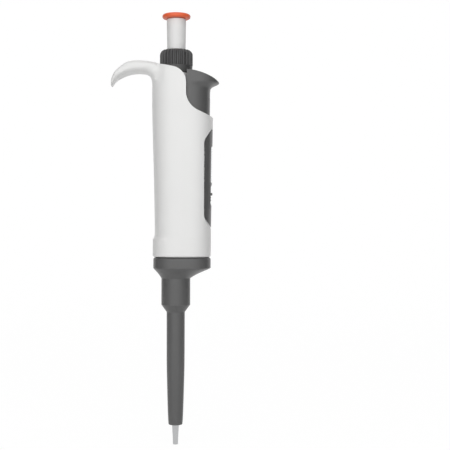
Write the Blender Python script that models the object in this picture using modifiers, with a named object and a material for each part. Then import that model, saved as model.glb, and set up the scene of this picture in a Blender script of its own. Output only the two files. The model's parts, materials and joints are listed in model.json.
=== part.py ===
"""Adjustable pipette for 0.5 to 10 microlitres, built as an assembly of separate pieces.

Units are metres, +Z is up and the plunger's axis is X = 0, Y = 0. The finger hook reaches to -X, the
volume display and the ejector's thumb spur are on the +X side. Heights in the constants and shapes are
measured up from the nozzle's end. One empty lowers the whole object, so that Z = 0 lies at the underside
of the finger hook, where a stand carries it.
"""

from math import copysign, cos, pi, radians, sin, tau

import bmesh
import bpy
from mathutils import Matrix, Vector

# Clearances: faces that rest on each other, pieces that slide, and shafts that turn
REST_GAP = 0.0003
SLIDE_GAP = 0.0003
RUN_GAP = 0.0003

# Facets of a full turn
COARSE = 14
ROUND = 24
FINE = 32

# Ejector sleeve, from its lower end up
NOZZLE_EXPOSED = 0.0106
SLEEVE_END_RADIUS = 0.0035
SLEEVE_TUBE_RADIUS = 0.00475
SLEEVE_NECK_RADIUS = 0.00765
SLEEVE_WALL = 0.0008
SLEEVE_FOOT = 0.0238
SLEEVE_TUBE = 0.0362
SLEEVE_CONE = 0.0039
SLEEVE_NECK = 0.0141
SLEEVE_FLARE = 0.0056
SLEEVE_RIM = 0.0056
SLEEVE_RIM_INSET = 0.0003
SLEEVE_RIM_EDGE = 0.0012
SLEEVE_SOCKET = 0.0050

# The foot's swelling and the collar's flare. Rows: share of the height, share of the widening
SLEEVE_FOOT_SHAPE = ((0.0, 0.0), (0.25, 0.32), (0.55, 0.72), (1.0, 0.92))
SLEEVE_FLARE_SHAPE = ((0.0, 0.0), (0.2, 0.16), (0.45, 0.40), (0.7, 0.68), (0.9, 0.92))

# Handle, a smooth oval column. Rows: height above its lower edge, back, front, half depth
HANDLE_POWER = 2.5
HANDLE_PROFILE = (
    (0.0000, -0.0117, 0.0179, 0.0123),
    (0.0006, -0.0123, 0.0185, 0.0129),
    (0.0091, -0.0123, 0.0186, 0.0130),
    (0.0102, -0.0111, 0.0186, 0.0130),
    (0.0400, -0.0117, 0.0190, 0.0135),
    (0.0719, -0.0127, 0.0192, 0.0137),
    (0.0850, -0.0129, 0.0194, 0.0137),
    (0.0920, -0.0128, 0.0194, 0.0134),
    (0.0965, -0.0124, 0.0190, 0.0126),
    (0.0995, -0.0114, 0.0182, 0.0113),
    (0.1016, -0.0097, 0.0168, 0.0094),
    (0.1030, -0.0070, 0.0144, 0.0066),
)
SHELL_WALL = 0.0014

# The shell's free edge seen from the side: down the front of the tower, then out to the handle's front
TOWER_FRONT = 0.0052
TOWER_TOP = 0.1003
TOWER_TOP_SLOPE = 0.176
TOWER_CORNER = 0.0065
TOWER_ROOF = 0.0020
SHOULDER_HEIGHT = 0.0800
SHOULDER_SLOPE = 0.42
SHOULDER_RADIUS = 0.0075
PARTITION_DROP = 0.0250

# Finger hook. Rows from its tip to its root: outer point, inner point, half width. Points are X and
# height above the hook's underside
HOOK_SEAT = 0.0966
HOOK_STATIONS = (
    ((-0.0349, -0.0067), (-0.0343, -0.0069), 0.0036),
    ((-0.0348, -0.0045), (-0.0336, -0.0058), 0.0052),
    ((-0.0344, -0.0017), (-0.0326, -0.0042), 0.0063),
    ((-0.0335, 0.0001), (-0.0311, -0.0031), 0.0070),
    ((-0.0316, 0.0031), (-0.0290, -0.0020), 0.0076),
    ((-0.0288, 0.0056), (-0.0266, -0.0009), 0.0080),
    ((-0.0247, 0.0073), (-0.0238, -0.0002), 0.0083),
    ((-0.0200, 0.0077), (-0.0203, 0.0000), 0.0085),
    ((-0.0160, 0.0074), (-0.0170, -0.0004), 0.0088),
    ((-0.0125, 0.0069), (-0.0145, -0.0018), 0.0092),
    ((-0.0095, 0.0063), (-0.0128, -0.0042), 0.0096),
    ((-0.0060, 0.0046), (-0.0116, -0.0080), 0.0098),
)
HOOK_POWER = 3.0
HOOK_POINTS = 20

# Display panel in the front of the handle, its window, and the scoop round the lock
PANEL_BACK = 0.0149
PANEL_BOTTOM = 0.0139
PANEL_HEIGHT = 0.0534
PANEL_CORNER = 0.0046
WINDOW_HALF_WIDTH = 0.0048
WINDOW_MARGIN = 0.0006
LENS_RECESS = 0.0002
LENS_THICKNESS = 0.0009
SCOOP_BOTTOM = 0.0267
SCOOP_HEIGHT = 0.0119
SCOOP_DEPTH = 0.0011
SCOOP_HALF_WIDTH = 0.0052
LOCK_PAD_BACK = 0.0166
LOCK_PAD_HALF_WIDTH = 0.0064
LOCK_PAD_MARGIN = 0.0010
LOCK_RAIL_WIDTH = 0.0010

# Lock slider
LOCK_TRAVEL = 0.0020
LOCK_BUTTON_DROP = 0.0030
LOCK_BUTTON_HEIGHT = 0.0043
LOCK_BUTTON_HALF_WIDTH = 0.0030
LOCK_BUTTON_FRONT = 0.0178
LOCK_TAB_FRONT = 0.0190
LOCK_TAB_HEIGHT = 0.0013
LOCK_RIB_FRONT = 0.0184
LOCK_RIB_HEIGHT = 0.0008
LOCK_PLATE_THICKNESS = 0.0012
LOCK_PLATE_DROP = 0.0040
LOCK_FINGER_WIDTH = 0.0006
LOCK_FINGER_HEIGHT = 0.0030
LOCK_ENGAGEMENT = 0.0015

# Frame inside the handle
FOOT_THICKNESS = 0.0024
SPIGOT_LENGTH = 0.0108
SPIGOT_RADIUS = 0.0047
COLUMN_WALL = 0.0012
POST_X = -0.0056
POST_Y = 0.0056
POST_RADIUS = 0.0018
SCREW_RADIUS = 0.0006
SCREW_HEAD_RADIUS = 0.0013
SCREW_HEAD_HEIGHT = 0.0010
SCREW_LENGTH = 0.0070

# Plunger
STROKE = 0.0120
BLOW_OUT = 0.0030
ROD_RADIUS = 0.0015
STOP_COLLAR_WIDTH = 0.0008
STOP_COLLAR_HEIGHT = 0.0020
STEM_TOP_RADIUS = 0.0051
STEM_FOOT_RADIUS = 0.00475
STEM_ENGAGEMENT = 0.0044
CAP_RADIUS = 0.00715
CAP_HEIGHT = 0.0034
CAP_EDGE = 0.0015
CAP_MARGIN = 0.0009
CAP_PIN_RADIUS = 0.0022
CAP_PIN_LENGTH = 0.0030

# Setting mechanism
STOP_BUSH_WALL = 0.0010
STOP_BUSH_HEIGHT = 0.0037
SETTING_WALL = 0.0010
SETTING_OVERLAP = 0.0007
CARRIAGE_WALL = 0.0013
CARRIAGE_FLOOR = 0.0015
LUG_WIDTH = 0.0016
LUG_LENGTH = 0.0125
DRIVE_WALL = 0.0008
DRIVE_FLANGE = 0.0017
TONGUE_WIDTH = 0.0016
TONGUE_LENGTH = 0.0048

# Knob and its bearing. Rib rows: share of the pitch, share of the depth; shoulder rows: degrees, share
KNOB_SEAT = 0.0985
KNOB_RADIUS = 0.00875
KNOB_HEIGHT = 0.0115
KNOB_SHOULDER = 0.0024
KNOB_BAND = 0.0029
KNOB_BAND_INSET = 0.00015
KNOB_RIBS = 24
KNOB_RIB_DEPTH = 0.0005
KNOB_RIB_SHAPE = ((0.0, 1.0), (0.25, 0.0), (0.75, 0.0))
KNOB_SHOULDER_SHAPE = ((30, 1.0), (60, 0.6), (90, 0.0))
KNOB_LIP = 0.0020
CUP_WALL = 0.00095
CUP_FLOOR = 0.0016
BUSH_WALL = 0.0009
BUSH_HEIGHT = 0.0070
HOUSING_WALL = 0.0008
HOUSING_LIP = 0.0008
CLIP_WIDTH = 0.0010
CLIP_THICKNESS = 0.0007
CLIP_BITE = 0.00015
CLIP_GAP = 0.0032

# Counter
COUNTER_X = 0.0100
DRIVE_TEETH = 20
TRANSFER_TEETH = 20
PINION_TEETH = 8
TRANSFER_MODULE = 0.00056
TOOTH_TIP = 0.8
TOOTH_ROOT = 1.1
TOOTH_BACKLASH = 0.00022
TOOTH_SLOPE = 0.42
GEAR_HEIGHT = 0.0024
GEAR_DRUM_SPACE = 0.0009
DRUM_RADIUS = 0.0064
DRUM_BAND = 0.0044
DRUM_SPACE = 0.0020
DRUM_HUB_RADIUS = 0.0035
TRANSFER_HEIGHT = 0.0014
CARRY_RADIUS = 0.0052
CARRY_DEPTH = 0.0010
CARRY_HALF_ANGLE = radians(14)
PINION_TOOTH_HEIGHT = 0.0010
PINION_HUB_RADIUS = 0.0013
COUNTER_SHAFT_RADIUS = 0.0010
PINION_SHAFT_RADIUS = 0.0006
PINION_DIRECTION = radians(250)
LOCK_WHEEL_RADIUS = 0.0044
LOCK_WHEEL_ROOT = 0.0027
LOCK_WHEEL_HEIGHT = 0.0020
LOCK_WHEEL_TEETH = 12
LOCK_WHEEL_TOOTH_SHARE = 0.33
LOCK_WHEEL_TOOTH_FLARE = 1.3
LOCK_WHEEL_LIFT = 0.0009
COUNTER_PLATE = 0.0020
COUNTER_PLATE_FRONT = 0.0124
COUNTER_PLATE_NEAR = 0.0096
COUNTER_PLATE_FAR = 0.0056
COUNTER_WEB_BACK = 0.0098
COUNTER_WEB = 0.0012

# Lower end
NOZZLE_END_RADIUS = 0.00135
NOZZLE_EXIT_RADIUS = 0.0017
NOZZLE_SHOULDER = 0.0024
NOZZLE_SHANK_RADIUS = 0.0020
NOZZLE_HEAD_RADIUS = 0.0025
NOZZLE_HEAD_HEIGHT = 0.0057
NOZZLE_MOUTH_RADIUS = 0.0004
NOZZLE_MOUTH_LENGTH = 0.0040
SHAFT_START = 0.0194
SHAFT_BORE_WALL = 0.0006
SHAFT_LIP = 0.0030
SHAFT_FLANGE = 0.0030
NUT_WALL = 0.0012
NUT_LIP = 0.0022
NUT_HEIGHT = 0.0136
SEAL_HEIGHT = 0.0013
SEAL_RADIUS = 0.0015
O_RING_SECTION = 0.00034
RETAINER_HEIGHT = 0.0047
PISTON_RADIUS = 0.000515
PISTON_END_MARGIN = 0.0015
HOLDER_DROP = 0.0016
HOLDER_HEIGHT = 0.0033
HOLDER_SOCKET = 0.0020

# Tip ejector
EJECTOR_X = 0.0086
EJECTOR_Y = 0.0084
EJECTOR_ROD_RADIUS = 0.0013
EJECTOR_BOSS_WALL = 0.0010
EJECTOR_BOSS_LENGTH = 0.0130
EJECTOR_WALL = 0.0014
EJECTOR_SKIRT = 0.0699
EJECTOR_ROOF = 0.0080
EJECTOR_TOP_FLAT = 0.0105
EJECTOR_TOP_RADIUS = 0.0030
EJECTOR_TOP_SLOPE = 0.573
SPUR_TIP = 0.0229
SPUR_EDGE = 0.0008
SPUR_ROOT_X = 0.0176
SPUR_ROOT_DROP = 0.0094
SPUR_ROOT_RADIUS = 0.0030
SPUR_ROOT_LENGTH = 0.0040
SPUR_HALF_WIDTH = 0.0108
SPUR_POWER = 2.2
EJECTOR_CLIP_WIDTH = 0.0008
EJECTOR_CLIP_HEIGHT = 0.0012

# Springs: coil radius, wire radius and turns
PLUNGER_COIL = 0.0021
PLUNGER_WIRE = 0.0003
PLUNGER_TURNS = 10
OVERSHOOT_COIL = 0.0049
OVERSHOOT_WIRE = 0.00045
OVERSHOOT_TURNS = 4
OVERSHOOT_LENGTH = 0.0075
EJECTOR_COIL = 0.0020
EJECTOR_WIRE = 0.0003
EJECTOR_TURNS = 7
EJECTOR_LENGTH = 0.0230
COIL_POINTS = 8

# Past every face, for cutters
PAST = 4 * KNOB_RADIUS

# Heights that follow from the sizes above
SLEEVE_BOTTOM = NOZZLE_EXPOSED
SLEEVE_CONE_BOTTOM = SLEEVE_BOTTOM + SLEEVE_FOOT + SLEEVE_TUBE
SLEEVE_NECK_BOTTOM = SLEEVE_CONE_BOTTOM + SLEEVE_CONE
SLEEVE_FLARE_BOTTOM = SLEEVE_NECK_BOTTOM + SLEEVE_NECK
SLEEVE_RIM_BOTTOM = SLEEVE_FLARE_BOTTOM + SLEEVE_FLARE
SLEEVE_TOP = SLEEVE_RIM_BOTTOM + SLEEVE_RIM
HANDLE_BOTTOM = SLEEVE_TOP + REST_GAP
SEAT_HEIGHT = HANDLE_BOTTOM + HOOK_SEAT

FOOT_BOTTOM = HANDLE_BOTTOM + REST_GAP
FOOT_TOP = FOOT_BOTTOM + FOOT_THICKNESS
SPIGOT_BOTTOM = FOOT_BOTTOM - SPIGOT_LENGTH
SHAFT_TOP = SPIGOT_BOTTOM - REST_GAP
HOLDER_BOTTOM = SHAFT_TOP - HOLDER_DROP
HOLDER_TOP = HOLDER_BOTTOM + HOLDER_HEIGHT

CARRIAGE_BOTTOM = FOOT_TOP + OVERSHOOT_LENGTH + 2 * REST_GAP
SETTING_BOTTOM = CARRIAGE_BOTTOM + CARRIAGE_FLOOR + REST_GAP
STOP_BUSH_BOTTOM = SETTING_BOTTOM
STOP_BUSH_TOP = STOP_BUSH_BOTTOM + STOP_BUSH_HEIGHT
STOP_COLLAR_BOTTOM = STOP_BUSH_TOP + STROKE + REST_GAP
STOP_COLLAR_TOP = STOP_COLLAR_BOTTOM + STOP_COLLAR_HEIGHT
DRIVE_END = STOP_COLLAR_TOP + REST_GAP
SETTING_TOP = DRIVE_END + SETTING_OVERLAP
DRIVE_FLANGE_BOTTOM = SETTING_TOP + REST_GAP
DRIVE_FLANGE_TOP = DRIVE_FLANGE_BOTTOM + DRIVE_FLANGE
COLUMN_TOP = SETTING_TOP
CARRIAGE_TOP = COLUMN_TOP - REST_GAP
PLATE_BOTTOM = COLUMN_TOP + REST_GAP
PLATE_TOP = PLATE_BOTTOM + COUNTER_PLATE

WHEEL_BOTTOM = PLATE_TOP + LOCK_WHEEL_LIFT
WHEEL_TOP = WHEEL_BOTTOM + LOCK_WHEEL_HEIGHT
GEAR_BOTTOM = WHEEL_TOP + REST_GAP
GEAR_TOP = GEAR_BOTTOM + GEAR_HEIGHT
TENTHS_BOTTOM = GEAR_TOP + GEAR_DRUM_SPACE
TENTHS_TOP = TENTHS_BOTTOM + DRUM_BAND
UNITS_BOTTOM = TENTHS_TOP + DRUM_SPACE
UNITS_TOP = UNITS_BOTTOM + DRUM_BAND
TENS_BOTTOM = UNITS_TOP + DRUM_SPACE
TENS_TOP = TENS_BOTTOM + DRUM_BAND
ROOF_PLATE_BOTTOM = TENS_TOP + 2 * REST_GAP
ROOF_PLATE_TOP = ROOF_PLATE_BOTTOM + COUNTER_PLATE

POCKET_FLOOR = HANDLE_BOTTOM + KNOB_SEAT
KNOB_BOTTOM = POCKET_FLOOR + REST_GAP
KNOB_TOP = KNOB_BOTTOM + KNOB_HEIGHT
CAP_BOTTOM = KNOB_TOP + STROKE + BLOW_OUT + CAP_MARGIN
CAP_TOP = CAP_BOTTOM + CAP_HEIGHT
STEM_TOP = CAP_BOTTOM - REST_GAP
STEM_BOTTOM = KNOB_TOP - STEM_ENGAGEMENT
CUP_FLOOR_TOP = STEM_BOTTOM - STROKE - BLOW_OUT - 2 * REST_GAP
CUP_BOTTOM = CUP_FLOOR_TOP - CUP_FLOOR
CUP_TOP = KNOB_TOP - KNOB_LIP - REST_GAP
BUSH_BOTTOM = POCKET_FLOOR - BUSH_HEIGHT
HOUSING_LIP_TOP = BUSH_BOTTOM - REST_GAP
HOUSING_LIP_BOTTOM = HOUSING_LIP_TOP - HOUSING_LIP
CLIP_TOP = HOUSING_LIP_BOTTOM - REST_GAP
CLIP_BOTTOM = CLIP_TOP - CLIP_THICKNESS
ROD_TOP = CAP_BOTTOM - CAP_PIN_LENGTH - 2 * REST_GAP

# Radii that follow from the sizes above, from the plunger's rod outwards
ROD_BORE = ROD_RADIUS + RUN_GAP
STOP_COLLAR_RADIUS = ROD_BORE + STOP_COLLAR_WIDTH
STOP_BUSH_RADIUS = ROD_BORE + STOP_BUSH_WALL
SETTING_BORE = STOP_BUSH_RADIUS + RUN_GAP
SETTING_RADIUS = SETTING_BORE + SETTING_WALL
CARRIAGE_BORE = SETTING_RADIUS + RUN_GAP
CARRIAGE_RADIUS = CARRIAGE_BORE + CARRIAGE_WALL
COLUMN_BORE = CARRIAGE_RADIUS + SLIDE_GAP
COLUMN_RADIUS = COLUMN_BORE + COLUMN_WALL
DRIVE_RADIUS = ROD_BORE + DRIVE_WALL
CUP_BORE = STEM_TOP_RADIUS + RUN_GAP
CUP_RADIUS = CUP_BORE + CUP_WALL
BUSH_BORE = CUP_RADIUS + RUN_GAP
BUSH_RADIUS = BUSH_BORE + BUSH_WALL
HOUSING_BORE = BUSH_RADIUS + REST_GAP
HOUSING_RADIUS = HOUSING_BORE + HOUSING_WALL
CLIP_BORE = CUP_RADIUS - CLIP_BITE
CLIP_RADIUS = CLIP_BORE + CLIP_WIDTH
POCKET_RADIUS = KNOB_RADIUS + RUN_GAP
SHAFT_BORE = NOZZLE_HEAD_RADIUS + REST_GAP
SHAFT_RADIUS = SHAFT_BORE + SHAFT_BORE_WALL
NUT_BORE = SPIGOT_RADIUS + REST_GAP
NUT_RADIUS = NUT_BORE + NUT_WALL
PISTON_BORE = PISTON_RADIUS + RUN_GAP
SLEEVE_CAVITY = SLEEVE_NECK_RADIUS - SLEEVE_WALL

DRIVE_MODULE = COUNTER_X / DRIVE_TEETH
PINION_DISTANCE = (TRANSFER_TEETH + PINION_TEETH) * TRANSFER_MODULE / 2
PINION_X = COUNTER_X + PINION_DISTANCE * cos(PINION_DIRECTION)
PINION_Y = PINION_DISTANCE * sin(PINION_DIRECTION)

# Colour, roughness and metallic value of each kind of surface
FINISHES = {
    "white_plastic": ((0.78, 0.79, 0.77), 0.38, 0.0),
    "orange_plastic": ((0.68, 0.10, 0.04), 0.40, 0.0),
    "dark_plastic": ((0.095, 0.100, 0.105), 0.45, 0.0),
    "clear_plastic": ((0.80, 0.85, 0.88), 0.10, 0.0),
    "black_plastic": ((0.03, 0.03, 0.03), 0.50, 0.0),
    "acetal": ((0.60, 0.60, 0.57), 0.40, 0.0),
    "steel": ((0.60, 0.60, 0.61), 0.25, 1.0),
    "brass": ((0.70, 0.52, 0.25), 0.35, 1.0),
    "seal_plastic": ((0.85, 0.85, 0.82), 0.50, 0.0),
    "rubber": ((0.02, 0.02, 0.02), 0.70, 0.0),
}


def clear_scene():
    for found in list(bpy.data.objects):
        bpy.data.objects.remove(found, do_unlink=True)


def add_collection(name):
    made = bpy.data.collections.new(name)
    bpy.context.scene.collection.children.link(made)
    return made


def add_material(name, finish):
    colour, roughness, metallic = FINISHES[finish]
    made = bpy.data.materials.new(name)
    made.use_nodes = True
    shader = made.node_tree.nodes["Principled BSDF"]
    shader.inputs["Base Color"].default_value = (*colour, 1.0)
    shader.inputs["Roughness"].default_value = roughness
    shader.inputs["Metallic"].default_value = metallic
    made.diffuse_color = (*colour, 1.0)
    return made


def add_empty(name, location, parent=None):
    """An empty on a joint's axis; what it carries keeps coordinates of the whole object."""
    made = bpy.data.objects.new(name, None)
    PARTS.objects.link(made)
    made.parent = parent
    made.location = location
    return made


def hold(made, carrier, finish, x=0.0, y=0.0):
    """Place an object whose data has heights above the nozzle's end, and whose axis is at x, y.

    Without a finish it is a cutter or an added form that only shapes other pieces.
    """
    offset = Vector((x, y, 0.0)) - carrier.location if carrier is not BASE else Vector((x, y, 0.0))
    made.parent = carrier
    made.location = offset
    if finish is None:
        CUTTERS.objects.link(made)
        made.hide_render = True
        made.display_type = "WIRE"
    else:
        PARTS.objects.link(made)
        made.data.materials.append(add_material(f"{made.name}_{finish}", finish))
    return made


def combine(target, tool, operation):
    """Boolean with a tool: DIFFERENCE, UNION or INTERSECT."""
    step = target.modifiers.new(tool.name, "BOOLEAN")
    step.operation = operation
    step.solver = "EXACT"
    step.object = tool


def turned(name, profile, carrier, finish=None, x=0.0, y=0.0, steps=ROUND):
    """Turn a profile of radius and height, which runs down the outer side, about a vertical axis."""
    last = len(profile) - 1
    edges = [(index, index + 1) for index in range(last)]
    if all(radius > 0 for radius, height in profile):
        edges.append((last, 0))
    mesh = bpy.data.meshes.new(name)
    mesh.from_pydata([(radius, 0.0, height) for radius, height in profile], edges, [])
    made = hold(bpy.data.objects.new(name, mesh), carrier, finish, x, y)
    turn = made.modifiers.new("Turn", "SCREW")
    turn.steps = steps
    turn.render_steps = steps
    turn.use_merge_vertices = True
    turn.merge_threshold = 0.000001
    return made


def solid(name, radius, bottom, top, carrier, finish=None, x=0.0, y=0.0, steps=ROUND):
    profile = [(0.0, top), (radius, top), (radius, bottom), (0.0, bottom)]
    return turned(name, profile, carrier, finish, x, y, steps)


def ring(name, inner, outer, bottom, top, carrier, finish=None, x=0.0, y=0.0, steps=ROUND):
    profile = [(outer, top), (outer, bottom), (inner, bottom), (inner, top)]
    return turned(name, profile, carrier, finish, x, y, steps)


def box(name, low, high, carrier, finish=None):
    mesh = bpy.data.meshes.new(name)
    cage = bmesh.new()
    bmesh.ops.create_cube(cage, size=1.0)
    size = Vector(high) - Vector(low)
    centre = (Vector(high) + Vector(low)) / 2
    bmesh.ops.scale(cage, vec=size, verts=cage.verts)
    bmesh.ops.translate(cage, vec=centre, verts=cage.verts)
    cage.to_mesh(mesh)
    cage.free()
    return hold(bpy.data.objects.new(name, mesh), carrier, finish)


def crosswise_cylinder(name, radius, half_width, x, height, carrier):
    """A cylinder along Y, as a cutter."""
    mesh = bpy.data.meshes.new(name)
    cage = bmesh.new()
    bmesh.ops.create_cone(
        cage,
        cap_ends=True,
        segments=2 * FINE,
        radius1=radius,
        radius2=radius,
        depth=2 * half_width,
        matrix=Matrix.Translation((x, 0.0, height)) @ Matrix.Rotation(pi / 2, 4, "X"),
    )
    cage.to_mesh(mesh)
    cage.free()
    return hold(bpy.data.objects.new(name, mesh), carrier, None)


def flat(name, outlines, low, high, carrier, finish=None, x=0.0, y=0.0, sideways=False):
    """Extrude closed outlines, the first with the others as its holes.

    They lie in X and Y and run from height low to high. Sideways, they lie in X and Z and run from Y
    low to high.
    """
    curve = bpy.data.curves.new(name, "CURVE")
    curve.dimensions = "2D"
    curve.fill_mode = "BOTH"
    curve.extrude = (high - low) / 2
    for outline in outlines:
        spline = curve.splines.new("POLY")
        spline.points.add(len(outline) - 1)
        for point, (across, along) in zip(spline.points, outline):
            point.co = (across, along, 0.0, 1.0)
        spline.use_cyclic_u = True
    shape = bpy.data.objects.new(name, curve)
    CUTTERS.objects.link(shape)
    bpy.context.view_layer.update()
    mesh = bpy.data.meshes.new_from_object(shape.evaluated_get(bpy.context.evaluated_depsgraph_get()))
    bpy.data.objects.remove(shape)
    bpy.data.curves.remove(curve)
    place = Matrix.Translation((0.0, 0.0, (low + high) / 2))
    if sideways:
        place = Matrix.Rotation(pi / 2, 4, "X") @ Matrix.Translation((0.0, 0.0, -(low + high) / 2))
    mesh.transform(place)
    cage = bmesh.new()
    cage.from_mesh(mesh)
    bmesh.ops.remove_doubles(cage, verts=cage.verts, dist=0.000001)
    bmesh.ops.recalc_face_normals(cage, faces=cage.faces)
    cage.to_mesh(mesh)
    cage.free()
    mesh.name = name
    return hold(bpy.data.objects.new(name, mesh), carrier, finish, x, y)


def lofted(name, rings, carrier, finish=None, closed=False):
    """Skin rings of equally many points, with a cap at each end unless the last meets the first."""
    mesh = bpy.data.meshes.new(name)
    cage = bmesh.new()
    rows = [[cage.verts.new(point) for point in points] for points in rings]
    pairs = list(zip(rows, rows[1:]))
    if closed:
        pairs.append((rows[-1], rows[0]))
    else:
        cage.faces.new(rows[0])
        cage.faces.new(rows[-1])
    count = len(rows[0])
    for lower, upper in pairs:
        for index in range(count):
            after = (index + 1) % count
            cage.faces.new((lower[index], lower[after], upper[after], upper[index]))
    bmesh.ops.recalc_face_normals(cage, faces=cage.faces)
    cage.to_mesh(mesh)
    cage.free()
    return hold(bpy.data.objects.new(name, mesh), carrier, finish)


def coil(name, radius, wire, bottom, top, turns, carrier, finish, x=0.0, y=0.0):
    """A round wire spring between two heights, with its end turns lying flat."""
    curve = bpy.data.curves.new(name, "CURVE")
    curve.dimensions = "3D"
    curve.bevel_depth = wire
    curve.bevel_resolution = 2
    curve.use_fill_caps = True
    spline = curve.splines.new("POLY")
    count = turns * COIL_POINTS
    spline.points.add(count)
    low = bottom + wire
    high = top - wire
    for index, point in enumerate(spline.points):
        share = index / count
        angle = tau * turns * share
        rise = min(max((share * turns - 0.5) / (turns - 1), 0.0), 1.0)
        point.co = (radius * cos(angle), radius * sin(angle), low + (high - low) * rise, 1.0)
    return hold(bpy.data.objects.new(name, curve), carrier, finish, x, y)


def signed_power(value, power):
    return copysign(abs(value) ** power, value)


def oval_ring(back, front, half_depth, height, power, count=FINE):
    """A level superellipse between two X values; power 2 is an ellipse."""
    centre = (back + front) / 2
    half_width = (front - back) / 2
    points = []
    for index in range(count):
        angle = tau * index / count
        across = signed_power(cos(angle), 2 / power)
        along = signed_power(sin(angle), 2 / power)
        points.append(Vector((centre + half_width * across, half_depth * along, height)))
    return points


def rounded(corners, facets=6):
    """A closed outline from corners of X, height and fillet radius."""
    points = []
    for index, (across, up, radius) in enumerate(corners):
        corner = Vector((across, up))
        before = (Vector(corners[index - 1][:2]) - corner).normalized()
        after = (Vector(corners[(index + 1) % len(corners)][:2]) - corner).normalized()
        if radius == 0.0:
            points.append(tuple(corner))
            continue
        half_angle = before.angle(after) / 2
        centre = corner + (before + after).normalized() * radius / sin(half_angle)
        reach = radius * cos(half_angle) / sin(half_angle)
        start = corner + before * reach - centre
        turn = start.angle_signed(corner + after * reach - centre)
        for step in range(facets + 1):
            arm = Matrix.Rotation(-turn * step / facets, 2) @ start
            points.append(tuple(centre + arm))
    return points


def gear_outline(teeth, module, phase):
    """Straight-sided teeth with their backlash; one tooth is centred on the phase angle."""
    pitch_radius = teeth * module / 2
    tip = pitch_radius + TOOTH_TIP * module
    root = pitch_radius - TOOTH_ROOT * module
    half_tooth = (pi * module / 2 - TOOTH_BACKLASH) / 2
    half_tip = half_tooth - (tip - pitch_radius) * TOOTH_SLOPE
    half_root = half_tooth + (pitch_radius - root) * TOOTH_SLOPE
    points = []
    for index in range(teeth):
        middle = phase + tau * index / teeth
        for radius, side in ((root, -half_root), (tip, -half_tip), (tip, half_tip), (root, half_root)):
            angle = middle + side / radius
            points.append((radius * cos(angle), radius * sin(angle)))
    return points


def circle_outline(radius, count=COARSE):
    return [(radius * cos(tau * step / count), radius * sin(tau * step / count)) for step in range(count)]


def handle_row(rise):
    """The handle's back, front and half depth at a height above its lower edge."""
    rows = HANDLE_PROFILE
    if rise <= rows[0][0]:
        return rows[0][1:]
    for lower, upper in zip(rows, rows[1:]):
        if rise <= upper[0]:
            share = (rise - lower[0]) / (upper[0] - lower[0])
            return tuple(low + (high - low) * share for low, high in zip(lower[1:], upper[1:]))
    return rows[-1][1:]


def handle_form(name, inset, bottom, top, carrier, finish=None):
    """The handle's outer form, or one inset from it, between two heights."""
    low = bottom - HANDLE_BOTTOM
    high = top - HANDLE_BOTTOM
    rises = [low] + [row[0] for row in HANDLE_PROFILE if low < row[0] < high] + [high]
    rings = []
    for rise in rises:
        back, front, half_depth = handle_row(rise)
        rings.append(
            oval_ring(back + inset, front - inset, half_depth - inset, HANDLE_BOTTOM + rise, HANDLE_POWER)
        )
    return lofted(name, rings, carrier, finish)


def make_shell():
    """White handle shell with its tower, finger hook, knob bearing housing and panel opening."""
    handle_top = HANDLE_BOTTOM + HANDLE_PROFILE[-1][0]
    shell = handle_form("handle_shell", 0.0, HANDLE_BOTTOM, handle_top, BASE, "white_plastic")
    far = 2 * SEAT_HEIGHT
    rise_back = TOWER_TOP + (TOWER_FRONT + PAST) * TOWER_TOP_SLOPE
    drop_front = SHOULDER_HEIGHT - (PAST - TOWER_FRONT) * SHOULDER_SLOPE
    free_edge = rounded(
        [
            (-PAST, far, 0.0),
            (-PAST, HANDLE_BOTTOM + rise_back, 0.0),
            (TOWER_FRONT, HANDLE_BOTTOM + TOWER_TOP, TOWER_CORNER),
            (TOWER_FRONT, HANDLE_BOTTOM + SHOULDER_HEIGHT, SHOULDER_RADIUS),
            (PAST, HANDLE_BOTTOM + drop_front, 0.0),
            (PAST, far, 0.0),
        ]
    )
    above_edge = flat("above_free_edge", [free_edge], -PAST, PAST, BASE, sideways=True)
    combine(shell, above_edge, "DIFFERENCE")

    roof = POCKET_FLOOR - TOWER_ROOF
    partition_bottom = POCKET_FLOOR - PARTITION_DROP
    cavity_top = POCKET_FLOOR + TOWER_ROOF
    cavity = handle_form("shell_cavity", SHELL_WALL, HANDLE_BOTTOM - SHELL_WALL, cavity_top, BASE)
    partition = box(
        "partition_space", (TOWER_FRONT - SHELL_WALL, -PAST, partition_bottom), (TOWER_FRONT, PAST, far), BASE
    )
    above_roof = box("above_roof", (-PAST, -PAST, roof), (TOWER_FRONT, PAST, far), BASE)
    combine(cavity, partition, "DIFFERENCE")
    combine(cavity, above_roof, "DIFFERENCE")
    combine(shell, make_hook(), "UNION")
    combine(shell, cavity, "DIFFERENCE")

    housing = solid("bearing_housing", HOUSING_RADIUS, HOUSING_LIP_BOTTOM, POCKET_FLOOR, BASE)
    combine(shell, housing, "UNION")
    bearing_bore = turned(
        "bearing_bore",
        [
            (0.0, far),
            (POCKET_RADIUS, far),
            (POCKET_RADIUS, POCKET_FLOOR),
            (HOUSING_BORE, POCKET_FLOOR),
            (HOUSING_BORE, HOUSING_LIP_TOP),
            (BUSH_BORE, HOUSING_LIP_TOP),
            (BUSH_BORE, HOUSING_LIP_BOTTOM),
            (CLIP_RADIUS + RUN_GAP, HOUSING_LIP_BOTTOM),
            (CLIP_RADIUS + RUN_GAP, CUP_BOTTOM - RUN_GAP),
            (0.0, CUP_BOTTOM - RUN_GAP),
        ],
        BASE,
        steps=FINE,
    )
    combine(shell, bearing_bore, "DIFFERENCE")
    panel_opening = flat("panel_opening", [panel_outline(0.0)], -PAST, PAST, BASE, sideways=True)
    combine(shell, panel_opening, "DIFFERENCE")


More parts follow.
